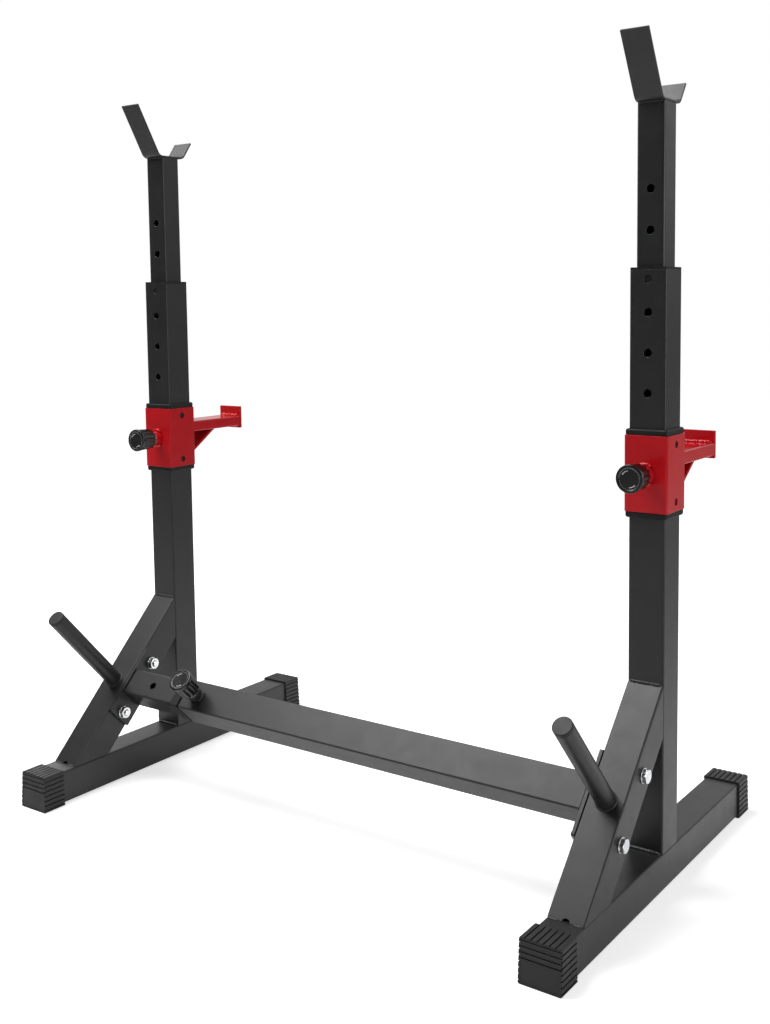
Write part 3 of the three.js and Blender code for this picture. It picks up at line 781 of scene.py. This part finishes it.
def make_brace(side, inward, frame_b):
    length = BRACE_REACH / math.cos(BRACE_ANGLE)
    brace = tube(f"fine_{side}_brace_tube", TUBE, TUBE, TUBE_WALL, length, TUBE_CORNER)
    moved(brace, along((0, 0, -TUBE * HALF), Y, Z))
    slope = math.tan(BRACE_ANGLE)
    for v in brace.data.vertices:
        if v.co.y < length * HALF:
            v.co.y += GAP - v.co.z * slope
        else:
            v.co.y += -GAP + v.co.z * slope
    tools = [hole(VENT, OVERRUN)]
    for s in (-1, 1):
        for way in (-1, 1):
            centre = (way * TUBE * HALF, BAR_PLACE + s * BOLT_OFFSET, -TUBE * HALF)
            tools.append(moved(hole(BOLT_HOLE, OVERRUN), along(centre, way * X, Y)))
    cut(brace, tools)
    dress(brace, f"{side}_brace_tube", frame_b)

    peg_frame = frame_b @ Matrix.Translation((0, PEG_PLACE, 0)) @ Matrix.Rotation(-PEG_TILT, 4, "X")
    top = PEG_LENGTH - PEG_CAP_HEAD - GAP
    slant = math.tan(PEG_TILT)
    peg = loft(f"fine_{side}_plate_peg",
               soften([(PEG, GAP), (PEG, top), (PEG - PEG_WALL, top), (PEG - PEG_WALL, GAP)], EDGE),
               round_ring(), closed=True)
    for v in peg.data.vertices:
        if v.co.z < top * HALF:
            v.co.z += v.co.y * slant
    dress(peg, f"{side}_plate_peg", peg_frame)
    cap = loft(f"fine_{side}_plate_peg_cap",
               [(PEG - PEG_WALL - GAP, top - TUBE_WALL), (PEG - PEG_WALL - GAP, top + GAP)]
               + soften([(PEG - EDGE, top + GAP), (PEG, top + GAP + EDGE), (PEG, PEG_LENGTH),
                         (PEG * HALF, PEG_LENGTH)], PEG_CAP_ROUND, closed=False,
                  steps=PEG_CAP_STEPS),
               round_ring())
    dress(cap, f"{side}_plate_peg_cap", peg_frame, materials["peg_plastic"])

    start = inward * (TUBE * HALF + GAP)
    plate = block(f"fine_{side}_crossbar_end_plate", TUBE, PLATE_LENGTH, PLATE, TUBE_CORNER)
    moved(plate, along((start, BAR_PLACE, -TUBE * HALF), inward * X, Y))
    dress(plate, f"{side}_crossbar_end_plate", frame_b)
    for label, s in (("lower", -1), ("upper", 1)):
        where = Vector((0, BAR_PLACE + s * BOLT_OFFSET, -TUBE * HALF))
        outer = where - X * inward * (TUBE * HALF)
        dress(bolt(f"fine_{side}_{label}_bolt"), f"{side}_{label}_bolt",
              frame_b @ along(outer, -inward * X, Y))
        inner = where + X * inward * (TUBE * HALF + PLATE + 2 * GAP)
        dress(nut(f"fine_{side}_{label}_nut"), f"{side}_{label}_nut",
              frame_b @ along(inner, inward * X, Y))
    return peg_frame


def hexagon(across_flats):
    """Shape for round_ring: no further out than a hexagon's sides"""
    def shape(a, radius, z):
        corner = (a + HEX_HALF_SIDE) % (2 * HEX_HALF_SIDE) - HEX_HALF_SIDE
        flat = across_flats * HALF / math.cos(corner)
        return min(radius, flat)
    return shape


def hex_body(name, across_flats, bottom, top, bore=0.0):
    corner = across_flats * HALF / math.cos(HEX_HALF_SIDE)
    flat = across_flats * HALF
    slope = (corner - flat) * math.tan(HEX_HALF_SIDE)
    profile = [(flat - EDGE, bottom)]
    for i in range(HEX_STEPS + 1):
        t = i / HEX_STEPS
        profile.append((flat + (corner - flat) * t, bottom + slope * t))
    for i in range(HEX_STEPS + 1):
        t = 1 - i / HEX_STEPS
        profile.append((flat + (corner - flat) * t, top - slope * t))
    if bore:
        profile += [(flat - EDGE, top), (bore + EDGE, top), (bore, top - EDGE),
                    (bore, bottom + EDGE), (bore + EDGE, bottom)]
    else:
        profile += [(flat - EDGE, top), (flat * HALF, top)]
    return loft(name, profile, round_ring(hexagon(across_flats), sides=HEX_SIDES), closed=bool(bore))


def ring_body(name, inner, outer, bottom, top, edge=EDGE):
    return loft(name, soften([(inner, bottom), (inner, top), (outer, top), (outer, bottom)], edge),
                round_ring(), closed=True)


def threaded(name, radius, bottom, top):
    """Screw thread between two heights, with a blunt end at the bottom"""
    count = round((top - bottom) / THREAD_PITCH * THREAD_STEPS)
    rings = []
    for j in range(count + 1):
        z = bottom + (top - bottom) * j / count
        from_end = min(1, (z - bottom) / THREAD_PITCH)
        ring = []
        for i in range(THREAD_SIDES):
            a = 2 * math.pi * i / THREAD_SIDES
            wave = abs(((z / THREAD_PITCH - i / THREAD_SIDES) % 1) * 2 - 1)
            r = radius - THREAD_DEPTH * (wave * from_end + (1 - from_end))
            ring.append((r * math.cos(a), r * math.sin(a), z))
        rings.append(ring)
    return skin(name, rings)


def bolt(name):
    """Bolt on the plane z = 0: washer, hexagon head and shank"""
    reach = TUBE + PLATE + 2 * GAP
    grip = -reach - NUT
    return joined(name, [
        ring_body("washer", BOLT + GAP, WASHER, GAP, GAP + WASHER_THICK),
        hex_body("head", HEX, GAP + WASHER_THICK, GAP + WASHER_THICK * HALF + HEAD),
        loft("shank", [(BOLT, grip), (BOLT, GAP + WASHER_THICK + EDGE)], round_ring()),
        threaded("thread", BOLT, -reach - BOLT_TIP, grip + GAP),
    ])


def nut(name):
    return joined(name, [
        ring_body("washer", BOLT + GAP, WASHER, 0, WASHER_THICK),
        hex_body("hexagon", HEX, WASHER_THICK, NUT, BOLT + GAP),
    ])


# Post and hook
def make_post(side, at):
    node = f"{side}_inner_post"
    low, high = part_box(node)
    post = tube(f"fine_{node}", POST, POST, TUBE_WALL, high.z - low.z, POST_CORNER)
    moved(post, Matrix.Translation((0, 0, low.z)))
    first = high.z - POST_HOLE_DROP
    cut(post, pin_holes(-POST * HALF, [first - i * PIN_PITCH for i in range(POST_HOLES)], PIN_HOLE))
    dress(post, node, at)

    seat = high.z + GAP + HOOK_PLATE * HALF
    back = Vector((-HOOK_BACK, seat))
    front = Vector((HOOK_FRONT, seat))
    tall = back + Vector((-math.sin(TALL_LEAN), math.cos(TALL_LEAN))) * TALL_LIP
    short = front + Vector((math.sin(SHORT_LEAN), math.cos(SHORT_LEAN))) * SHORT_LIP
    line = soften([tall, back, front, short], HOOK_BEND, closed=False, steps=HOOK_STEPS)
    dress(bent_plate(f"fine_{side}_bar_hook", line, POST, HOOK_PLATE), f"{side}_bar_hook", at)
    return high.z


def bent_plate(name, line, width, thickness):
    """Plate that follows a line in Y and Z, with rounded edges"""
    points = [Vector(p) for p in line]
    section = soften([(-width * HALF, -thickness * HALF), (width * HALF, -thickness * HALF),
                      (width * HALF, thickness * HALF), (-width * HALF, thickness * HALF)],
                     HOOK_EDGE)
    rings = []
    last = len(points) - 1
    for i, p in enumerate(points):
        tangent = (points[min(i + 1, last)] - points[max(i - 1, 0)]).normalized()
        across = Vector((-tangent.y, tangent.x))
        pulls = [(0, 0)]
        if i in (0, last):
            step = HOOK_EDGE if i == 0 else -HOOK_EDGE
            pulls = [(HOOK_EDGE, 0), (0, step)]
            pulls = pulls if i == 0 else pulls[::-1]
        for inset, shift in pulls:
            share = 1 - inset / (thickness * HALF)
            centre = p + tangent * shift
            ring = []
            for sx, sn in section:
                offset = centre + across * sn * share
                ring.append((sx * (1 - inset / (width * HALF)), offset.x, offset.y))
            rings.append(ring)
    return skin(name, rings)


# Catch
def catch_bushing(name, sleeve):
    """Bushing for the sleeve's top, whose seat is z = 0"""
    skirt = SLEEVE_WALL + GAP - FLANGE_INSET
    size = sleeve - 2 * FLANGE_INSET
    bore = (size - TUBE) * HALF - GAP
    top = GAP + CATCH_FLANGE
    profile = soften([(0, GAP), (0, top - CATCH_FLANGE_SLOPE), (CATCH_FLANGE_SLOPE, top), (bore, top),
                      (bore, -CATCH_SKIRT), (skirt, -CATCH_SKIRT), (skirt, GAP)], EDGE)
    parts = [loft("bushing", profile, box_ring(size, size, SLEEVE_CORNER), closed=True)]
    reach = sleeve * HALF - SLEEVE_BOSS_RECESS
    root = sleeve * HALF - SLEEVE_WALL - 2 * GAP
    for way in (-1, 1):
        boss = loft("boss", soften([(BOSS * HALF, root), (BOSS, root), (BOSS, reach),
                                    (BOSS * HALF, reach)], EDGE, closed=False), round_ring())
        parts.append(moved(boss, along((0, 0, -SLEEVE_BOSS_INSET), way * X, Y)))
    return joined(name, parts)


def make_catch(side, x, y):
    low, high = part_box(f"{side}_catch_sleeve")
    size = high.x - low.x
    length = high.z - low.z
    middle = (low.z + high.z) * HALF
    at = Matrix.Translation((x, y, middle))
    sleeve = tube(f"fine_{side}_catch_sleeve", size, size, SLEEVE_WALL, length, SLEEVE_CORNER)
    moved(sleeve, Matrix.Translation((0, 0, -length * HALF)))
    tools = pin_holes(-size * HALF, [0], PIN_HOLE)
    for h in (-1, 1):
        for way in (-1, 1):
            centre = (way * size * HALF, 0, h * (length * HALF - SLEEVE_BOSS_INSET))
            tools.append(moved(hole(BOSS_HOLE, OVERRUN * HALF), along(centre, way * X, Y)))
    cut(sleeve, tools)
    dress(sleeve, f"{side}_catch_sleeve", at)
    for label, way in (("upper", 1), ("lower", -1)):
        node = f"{side}_catch_{label}_bushing"
        seat = at @ along((0, 0, way * length * HALF), way * Z, Y)
        dress(catch_bushing(f"fine_{node}", size), node, seat)

    root = size * HALF
    width = size - 2 * ARM_INSET
    arm = tube(f"fine_{side}_catch_arm", width, ARM_HEIGHT, SLEEVE_WALL, LIP_FACE - 2 * GAP,
               ARM_CORNER)
    arm_z = ARM_RISE + ARM_HEIGHT * HALF
    dress(arm, f"{side}_catch_arm", at @ along((0, root + GAP, arm_z), Y, Z))
    lip = block(f"fine_{side}_catch_arm_lip", width, LIP_HEIGHT, LIP_THICK, 2 * EDGE,
                CHAMFER)
    lip_z = LIP_RISE + LIP_HEIGHT * HALF
    dress(lip, f"{side}_catch_arm_lip", at @ along((0, root + LIP_FACE, lip_z), Y, Z))
    under = ARM_RISE - GAP
    slope = math.atan2(STRUT_DROP, STRUT_REACH)
    start = root + GAP
    level = STRUT_THICK / math.sin(slope)
    rise = STRUT_THICK / math.cos(slope)
    outline = [(start, under - STRUT_DROP), (start + STRUT_REACH, under),
               (start + STRUT_REACH - level, under), (start, under - STRUT_DROP + rise)]
    strut = skin(f"fine_{side}_catch_arm_strut",
                 [[(s * (width * HALF - STRUT_INSET), py, pz) for py, pz in outline]
                  for s in (-1, 1)])
    rounded_edges(strut, EDGE)
    dress(strut, f"{side}_catch_arm_strut", at)

    beads = [
        line_bead(at, width * HALF - WELD, root, ARM_RISE + ARM_HEIGHT, seed=21),
        line_bead(at, width * HALF - LIP_WELD, root + LIP_FACE, ARM_RISE + ARM_HEIGHT, LIP_WELD,
                  seed=22),
        line_bead(at, width * HALF - WELD, root + LIP_FACE, ARM_RISE, seed=23),
        line_bead(at, width * HALF - 2 * WELD, root, under - STRUT_DROP, seed=24),
        line_bead(at, width * HALF - 2 * WELD, root + STRUT_REACH, under, seed=25),
    ]
    plunger_frame = at @ along((0, -size * HALF, 0), -Y, Z)
    beads += tack_beads(plunger_frame, QUARTER)
    trim(joined(f"{side}_catch_welds", beads), f"{side}_catch", "red_powder_coat")
    make_plunger(f"{side}_catch", plunger_frame)


# Plunger, on a face at z = 0 of its frame
def tack_beads(at, middle):
    """Two short beads at opposite sides of a plunger's boss; middle is in turns from its X axis"""
    return [ring_bead(at, BARREL + WELD * HALF, m - TACK_TURN_SHARE, m + TACK_TURN_SHARE, WELD * HALF,
                      TACK_WELD, 31 + i)
            for i, m in enumerate((middle, middle + HALF))]


def knob_radius(a, radius, z):
    """Flutes on the grip, none on the head or in the bore"""
    if radius < KNOB_BORE + EDGE or z > KNOB_FACE - KNOB_HEAD:
        return radius
    wave = HALF - HALF * math.cos(a * FLUTES)
    return radius - FLUTE_DEPTH * wave ** 2


def make_plunger(name, at):
    boss = ring_body("boss", BARREL_BORE, BARREL, GAP, BOSS_LENGTH)
    dress(boss, f"{name}_plunger_barrel", at)
    boss.name = f"fine_{name}_plunger_boss"
    neck = joined(f"{name}_plunger_neck", [
        hex_body("nut", NECK_HEX, BOSS_LENGTH + GAP * HALF, BOSS_LENGTH + HEAD, BARREL_BORE),
        ring_body("sleeve", SHANK_HOLE, NECK, BOSS_LENGTH + HEAD, GAP + BARREL_LENGTH),
    ])
    moved(neck, at)
    trim(neck, body_of[f"{name}_plunger_barrel"], "zinc_plate")

    rear = KNOB_FACE - KNOB_LENGTH
    seam = KNOB_FACE - KNOB_HEAD
    outer = [(KNOB_BORE + 2 * EDGE, rear), (GRIP_REAR, rear), (GRIP_FRONT, seam)]
    outer = soften(outer, 2 * EDGE, closed=False)
    back = outer[-2]
    front = outer[-1]
    outer = outer[:-1] + [(back[0] + (front[0] - back[0]) * i / GRIP_STEPS,
                           back[1] + (seam - back[1]) * i / GRIP_STEPS)
                          for i in range(1, GRIP_STEPS + 1)]
    dish = KNOB_RADIUS - FACE_RIM
    head = soften([(KNOB_RADIUS - KNOB_EDGE, seam + EDGE), (KNOB_RADIUS, seam + KNOB_EDGE),
                   (KNOB_RADIUS, KNOB_FACE), (dish, KNOB_FACE),
                   (dish - FACE_DISH, KNOB_FACE - FACE_DISH),
                   (dish * HALF, KNOB_FACE - FACE_DISH)], KNOB_EDGE, closed=False, steps=HEAD_STEPS)
    knob = loft("outside", outer + head, round_ring(knob_radius, sides=FLUTES * FLUTE_SIDES))
    cavity = loft("cavity", [(KNOB_BORE, rear - OVERRUN), (KNOB_BORE, KNOB_CAVITY)], round_ring())
    cut(knob, [cavity])
    knob.name = f"fine_{name}_plunger_knob"
    node = f"{name}_plunger_knob"
    marks = knob_marks(f"{name}_knob_marks")
    dress(knob, node, at)
    moved(marks, at)
    trim(marks, body_of[node], "knob_plastic", materials["mark_paint"])


def on_circle(radius, turn):
    a = 2 * math.pi * turn
    return Vector((radius * math.cos(a), radius * math.sin(a)))


def knob_marks(name):
    """Two curved arrows and a ring of ticks, printed on the knob's face"""
    base = KNOB_FACE - FACE_DISH
    outlines = []
    middle = MARK_RADIUS - MARK_WIDTH * HALF
    for start, end in MARK_SPANS:
        turns = [start + (end - start) * i / MARK_STEPS for i in range(MARK_STEPS + 1)]
        outlines.append([on_circle(MARK_RADIUS, t) for t in turns]
                        + [on_circle(MARK_RADIUS - MARK_WIDTH, t) for t in reversed(turns)])
        outlines.append([on_circle(middle + MARK_POINT, end),
                         on_circle(middle, end + MARK_POINT_TURN),
                         on_circle(middle - MARK_POINT, end)])
    for i in range(TICKS):
        out = on_circle(1, i / TICKS)
        across = Vector((-out.y, out.x)) * TICK_WIDTH * HALF
        near = out * TICK_RADIUS
        far = out * (TICK_RADIUS + TICK_LENGTH)
        outlines.append([near - across, far - across, far + across, near + across])
    return joined(name, [skin("mark", [[(p.x, p.y, z) for p in outline]
                                       for z in (base, base + MARK_HEIGHT)])
                         for outline in outlines])


# Crossbar
def make_crossbar(frame_b):
    line = frame_b @ Matrix.Translation((0, BAR_PLACE, -TUBE * HALF))
    line.translation.x = 0
    for node, size in (("crossbar_outer_tube", TUBE), ("crossbar_inner_tube", INNER_BAR)):
        low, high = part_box(node)
        bar = tube(f"fine_{node}", size, size, BAR_WALL, high.x - low.x, TUBE_CORNER)
        moved(bar, along((low.x, 0, 0), X, Z))
        pin = BAR_OPEN_END + BAR_PIN_FROM_END
        places = [pin] if size == TUBE else [pin + i * BAR_PITCH for i in BAR_HOLE_NUMBERS]
        tools = [moved(hole(PIN_HOLE, OVERRUN), Matrix.Translation((px, 0, size * HALF)))
                 for px in places]
        cut(bar, tools)
        dress(bar, node, line)
    skirt = BAR_WALL + GAP
    bore = (TUBE - INNER_BAR) * HALF - GAP
    end = -LINER_FLANGE - GAP
    profile = soften([(LINER_INSET, -LINER_GAP), (LINER_INSET, end), (bore, end),
                      (bore, LINER_SKIRT), (skirt, LINER_SKIRT), (skirt, LINER_GAP),
                      (bore - LINER_NECK, LINER_GAP), (bore - LINER_NECK, -LINER_GAP)], CHAMFER)
    liner = loft("fine_crossbar_liner", profile, box_ring(TUBE, TUBE, TUBE_CORNER), closed=True)
    at_end = along((BAR_OPEN_END, 0, 0), X, Z)
    moved(liner, at_end)
    dress(liner, "crossbar_liner", line)
    # Near-black, matt ring set in the seam between liner and outer tube: painted shade for the depth of
    # the gap
    reach = LINER_GAP - SEAM
    painted_seam_shade = loft("crossbar_liner_painted_shade_ring", [(SHADE_RING_INSET, -reach), (SHADE_RING_INSET, -SEAM),
                                        (bore - LINER_NECK, -SEAM), (bore - LINER_NECK, -reach)],
                box_ring(TUBE, TUBE, TUBE_CORNER), closed=True)
    moved(painted_seam_shade, line @ at_end)
    trim(painted_seam_shade, body_of["crossbar_liner"], "black_plastic", materials["painted_seam_shade"])
    plunger_frame = line @ Matrix.Translation((BAR_OPEN_END + BAR_PIN_FROM_END, 0, TUBE * HALF))
    make_plunger("crossbar", plunger_frame)
    beads = tack_beads(plunger_frame, 0)
    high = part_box("crossbar_outer_tube")[1].x
    beads += bar_beads(line, high, TUBE, 41)
    trim(joined("crossbar_welds", beads), "right_stand", "black_powder_coat")
    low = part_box("crossbar_inner_tube")[0].x
    trim(joined("crossbar_inner_welds", bar_beads(line, low, INNER_BAR, 51)), "left_stand",
         "black_powder_coat")


def bar_beads(line, x, size, seed):
    """Beads on the two hidden faces of a crossbar tube's end"""
    h = size * HALF
    reach = h - 2 * WELD
    under = [line @ Vector((x, -reach, -h)), line @ Vector((x, reach, -h))]
    behind = [line @ Vector((x, h, -reach)), line @ Vector((x, h, reach))]
    return [bead(under, seed=seed), bead(behind, seed=seed + 1)]


def make_stand_beads(side, at, frame_b, peg_frame, post_top):
    reach = TUBE * HALF - WELD
    foot_top = CAP_WALL + TUBE
    length = BRACE_REACH / math.cos(BRACE_ANGLE)
    rear = TUBE * math.tan(BRACE_ANGLE)
    gap_half = VENT + WELD
    beads = [
        line_bead(at, reach, -TUBE * HALF, foot_top, FOOT_WELD, seed=1),
        line_bead(at, reach, TUBE * HALF, foot_top, FOOT_WELD, seed=2),
        line_bead(frame_b, reach, length, -WELD_SINK * HALF, BRACE_WELD, seed=3),
        line_bead(frame_b, reach, length - rear, -TUBE, seed=4),
        line_bead(frame_b, reach, rear, -TUBE, seed=5),
        ring_bead(peg_frame, PEG, 0, 1, size=PEG_WELD, seed=6),
    ]
    for i, way in enumerate((-1, 1)):
        path = [frame_b @ Vector((way * px, 0, -WELD_SINK)) for px in (gap_half, reach)]
        beads.append(bead(path, VENT_WELD, seed=7 + i))
    trim(joined(f"{side}_stand_welds", beads), f"{side}_stand", "black_powder_coat")
    post = POST * HALF
    hook = [line_bead(at, post - WELD, way * post, post_top, HOOK_WELD, seed=11 + i)
            for i, way in enumerate((-1, 1))]
    trim(joined(f"{side}_hook_welds", hook), f"{side}_post", "black_powder_coat")


def make_stand(side, inward):
    low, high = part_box(f"{side}_upright_tube")
    x = (low.x + high.x) * HALF
    y = (low.y + high.y) * HALF
    make_foot(side, x, y)
    at = make_upright(side, x, y)
    frame_b = brace_frame(x, y)
    peg_frame = make_brace(side, inward, frame_b)
    post_top = make_post(side, at)
    make_catch(side, x, y)
    make_stand_beads(side, at, frame_b, peg_frame, post_top)
    return frame_b


# Camera, light and floor
CAMERA_PLACE = Vector((1.07515, -1.46895, 0.77768))
CAMERA_YAW = math.radians(35.576)
CAMERA_PITCH = math.radians(-5.032)
CAMERA_ROLL = math.radians(-0.740)
FOCAL_PIXELS = 1212.25
CENTRE_PIXELS = (387.84, 411.35)
IMAGE_PIXELS = (770, 1024)
SENSOR = 36.0


# Studio: the world's strengths, the floor, and the lamps' places, sizes and powers
ROOM_LIGHT = 0.17
ROOM_FRONT = 0.04
ROOM_BACK = 0.85
ROOM_EDGE_SHARES = (-0.30, 0.35)
HORIZON_LOW = 0.15
HORIZON_SHARES = (0.0, 0.13)
FLOOR = 8.0
NEAR_GLOW = 0.62
FAR_GLOW = 0.85
GLOW_RADII = (0.9, 3.0)
MIRROR_NEAR = 0.50
MIRROR_FAR = 0.06
MIRROR_RADII = (0.5, 1.4)
MIRROR_FRONT_SHARE = 0.25
MIRROR_EDGE = (-0.35, 0.20)
OVERHEAD_PLACE = (-0.95, -0.60, 2.6)
OVERHEAD_SIZE = (1.4, 2.0)
OVERHEAD_POWER = 76
RIGHT_PLACE = (3.6, -0.4, 1.1)
RIGHT_SIZE = (2.2, 1.4)
RIGHT_POWER = 46
LEFT_PLACE = (-2.4, 0.8, 1.4)
LEFT_SIZE = (1.0, 1.6)
LEFT_POWER = 10
LAMP_TARGET = (0.0, 0.0, 0.45)


def make_camera():
    data = bpy.data.cameras.new("camera")
    data.sensor_width = SENSOR
    long_side = max(IMAGE_PIXELS)
    data.lens = FOCAL_PIXELS / long_side * SENSOR
    data.shift_x = (IMAGE_PIXELS[0] * HALF - CENTRE_PIXELS[0]) / long_side
    data.shift_y = (CENTRE_PIXELS[1] - IMAGE_PIXELS[1] * HALF) / long_side
    camera = bpy.data.objects.new("camera", data)
    bpy.context.scene.collection.objects.link(camera)
    look = Vector((-math.sin(CAMERA_YAW) * math.cos(CAMERA_PITCH),
                   math.cos(CAMERA_YAW) * math.cos(CAMERA_PITCH), math.sin(CAMERA_PITCH)))
    right = Vector((math.cos(CAMERA_YAW), math.sin(CAMERA_YAW), 0))
    up = right.cross(look)
    turned_right = right * math.cos(CAMERA_ROLL) + up * math.sin(CAMERA_ROLL)
    turned_up = up * math.cos(CAMERA_ROLL) - right * math.sin(CAMERA_ROLL)
    matrix = Matrix((turned_right, turned_up, -look)).transposed().to_4x4()
    matrix.translation = CAMERA_PLACE
    camera.matrix_world = matrix
    bpy.context.scene.camera = camera


def area_light(name, place, size, power):
    data = bpy.data.lights.new(name, "AREA")
    data.shape = "RECTANGLE"
    data.size, data.size_y = size
    data.energy = power
    lamp = bpy.data.objects.new(name, data)
    bpy.context.scene.collection.objects.link(lamp)
    lamp.visible_camera = False
    lamp.location = place
    aim = Vector(LAMP_TARGET) - Vector(place)
    lamp.rotation_euler = aim.to_track_quat("-Z", "Y").to_euler()


def largest(nodes, links, values):
    total = values[0]
    for value in values[1:]:
        node = nodes.new("ShaderNodeMath")
        node.operation = "MAXIMUM"
        links.new(total, node.inputs[0])
        links.new(value, node.inputs[1])
        total = node.outputs[0]
    return total


def times(nodes, links, value, other):
    node = nodes.new("ShaderNodeMath")
    node.operation = "MULTIPLY"
    links.new(value, node.inputs[0])
    links.new(other, node.inputs[1])
    return node.outputs[0]


def make_world():
    """White where it is seen, dim as a lamp, and darker in reflections of the room in front"""
    world = bpy.data.worlds.new("studio")
    bpy.context.scene.world = world
    world.use_nodes = True
    nodes = world.node_tree.nodes
    links = world.node_tree.links
    background = nodes["Background"]
    background.inputs["Color"].default_value = (1, 1, 1, 1)
    coords = nodes.new("ShaderNodeTexCoord")
    split = nodes.new("ShaderNodeSeparateXYZ")
    links.new(coords.outputs["Generated"], split.inputs["Vector"])
    depth = ranged(nodes, links, split.outputs["Y"], ROOM_FRONT, ROOM_BACK, ROOM_EDGE_SHARES)
    rise = ranged(nodes, links, split.outputs["Z"], HORIZON_LOW, 1.0, HORIZON_SHARES)
    room = times(nodes, links, depth, rise)
    path = nodes.new("ShaderNodeLightPath")
    lamp = ranged(nodes, links, path.outputs["Is Glossy Ray"], ROOM_LIGHT, 0.0, (0.0, 1.0))
    strength = largest(nodes, links, [
        lamp,
        path.outputs["Is Camera Ray"],
        path.outputs["Is Transmission Ray"],
        times(nodes, links, path.outputs["Is Glossy Ray"], room),
    ])
    links.new(strength, background.inputs["Strength"])


def make_floor():
    """Pale floor that looks white and keeps the object's shadow"""
    corners = [(-FLOOR, -FLOOR, 0), (FLOOR, -FLOOR, 0), (FLOOR, FLOOR, 0), (-FLOOR, FLOOR, 0)]
    floor = mesh_object("floor", corners, [(0, 1, 2, 3)])
    mat, nodes, links, shader = blank("floor_white")
    tone = noise(nodes, links, *FLOOR_NOISE)
    links.new(tinted(nodes, links, tone, FLOOR_DARK, FLOOR_LIGHT), shader.inputs["Base Color"])
    shader.inputs["Roughness"].default_value = FLOOR_ROUGHNESS
    shader.inputs["Specular IOR Level"].default_value = FLOOR_LEVEL
    shader.inputs["Emission Color"].default_value = (1, 1, 1, 1)
    coords = nodes.new("ShaderNodeTexCoord")
    length = nodes.new("ShaderNodeVectorMath")
    length.operation = "LENGTH"
    links.new(coords.outputs["Object"], length.inputs[0])
    away = length.outputs["Value"]
    glow = ranged(nodes, links, away, NEAR_GLOW, FAR_GLOW, GLOW_RADII)
    split = nodes.new("ShaderNodeSeparateXYZ")
    links.new(coords.outputs["Object"], split.inputs["Vector"])
    side = ranged(nodes, links, split.outputs["Y"], MIRROR_FRONT_SHARE, 1.0, MIRROR_EDGE)
    mirrored = times(nodes, links, side,
                     ranged(nodes, links, away, MIRROR_NEAR, MIRROR_FAR, MIRROR_RADII))
    path = nodes.new("ShaderNodeLightPath")
    strength = largest(nodes, links, [
        times(nodes, links, path.outputs["Is Camera Ray"], glow),
        times(nodes, links, path.outputs["Is Transmission Ray"], glow),
        times(nodes, links, path.outputs["Is Glossy Ray"], mirrored),
    ])
    links.new(strength, shader.inputs["Emission Strength"])
    floor.data.materials.append(mat)


def make_lights():
    area_light("overhead", OVERHEAD_PLACE, OVERHEAD_SIZE, OVERHEAD_POWER)
    area_light("right", RIGHT_PLACE, RIGHT_SIZE, RIGHT_POWER)
    area_light("left", LEFT_PLACE, LEFT_SIZE, LEFT_POWER)


make_materials()
make_camera()
make_world()
make_floor()
make_lights()
left_frame = make_stand("left", 1)
right_frame = make_stand("right", -1)
make_crossbar(right_frame)
for node, obj in frame["nodes"].items():
    obj.data.materials.clear()
    obj.data.materials.append(materials[slot_of[node]])

scene = bpy.context.scene
scene.view_settings.view_transform = "Standard"
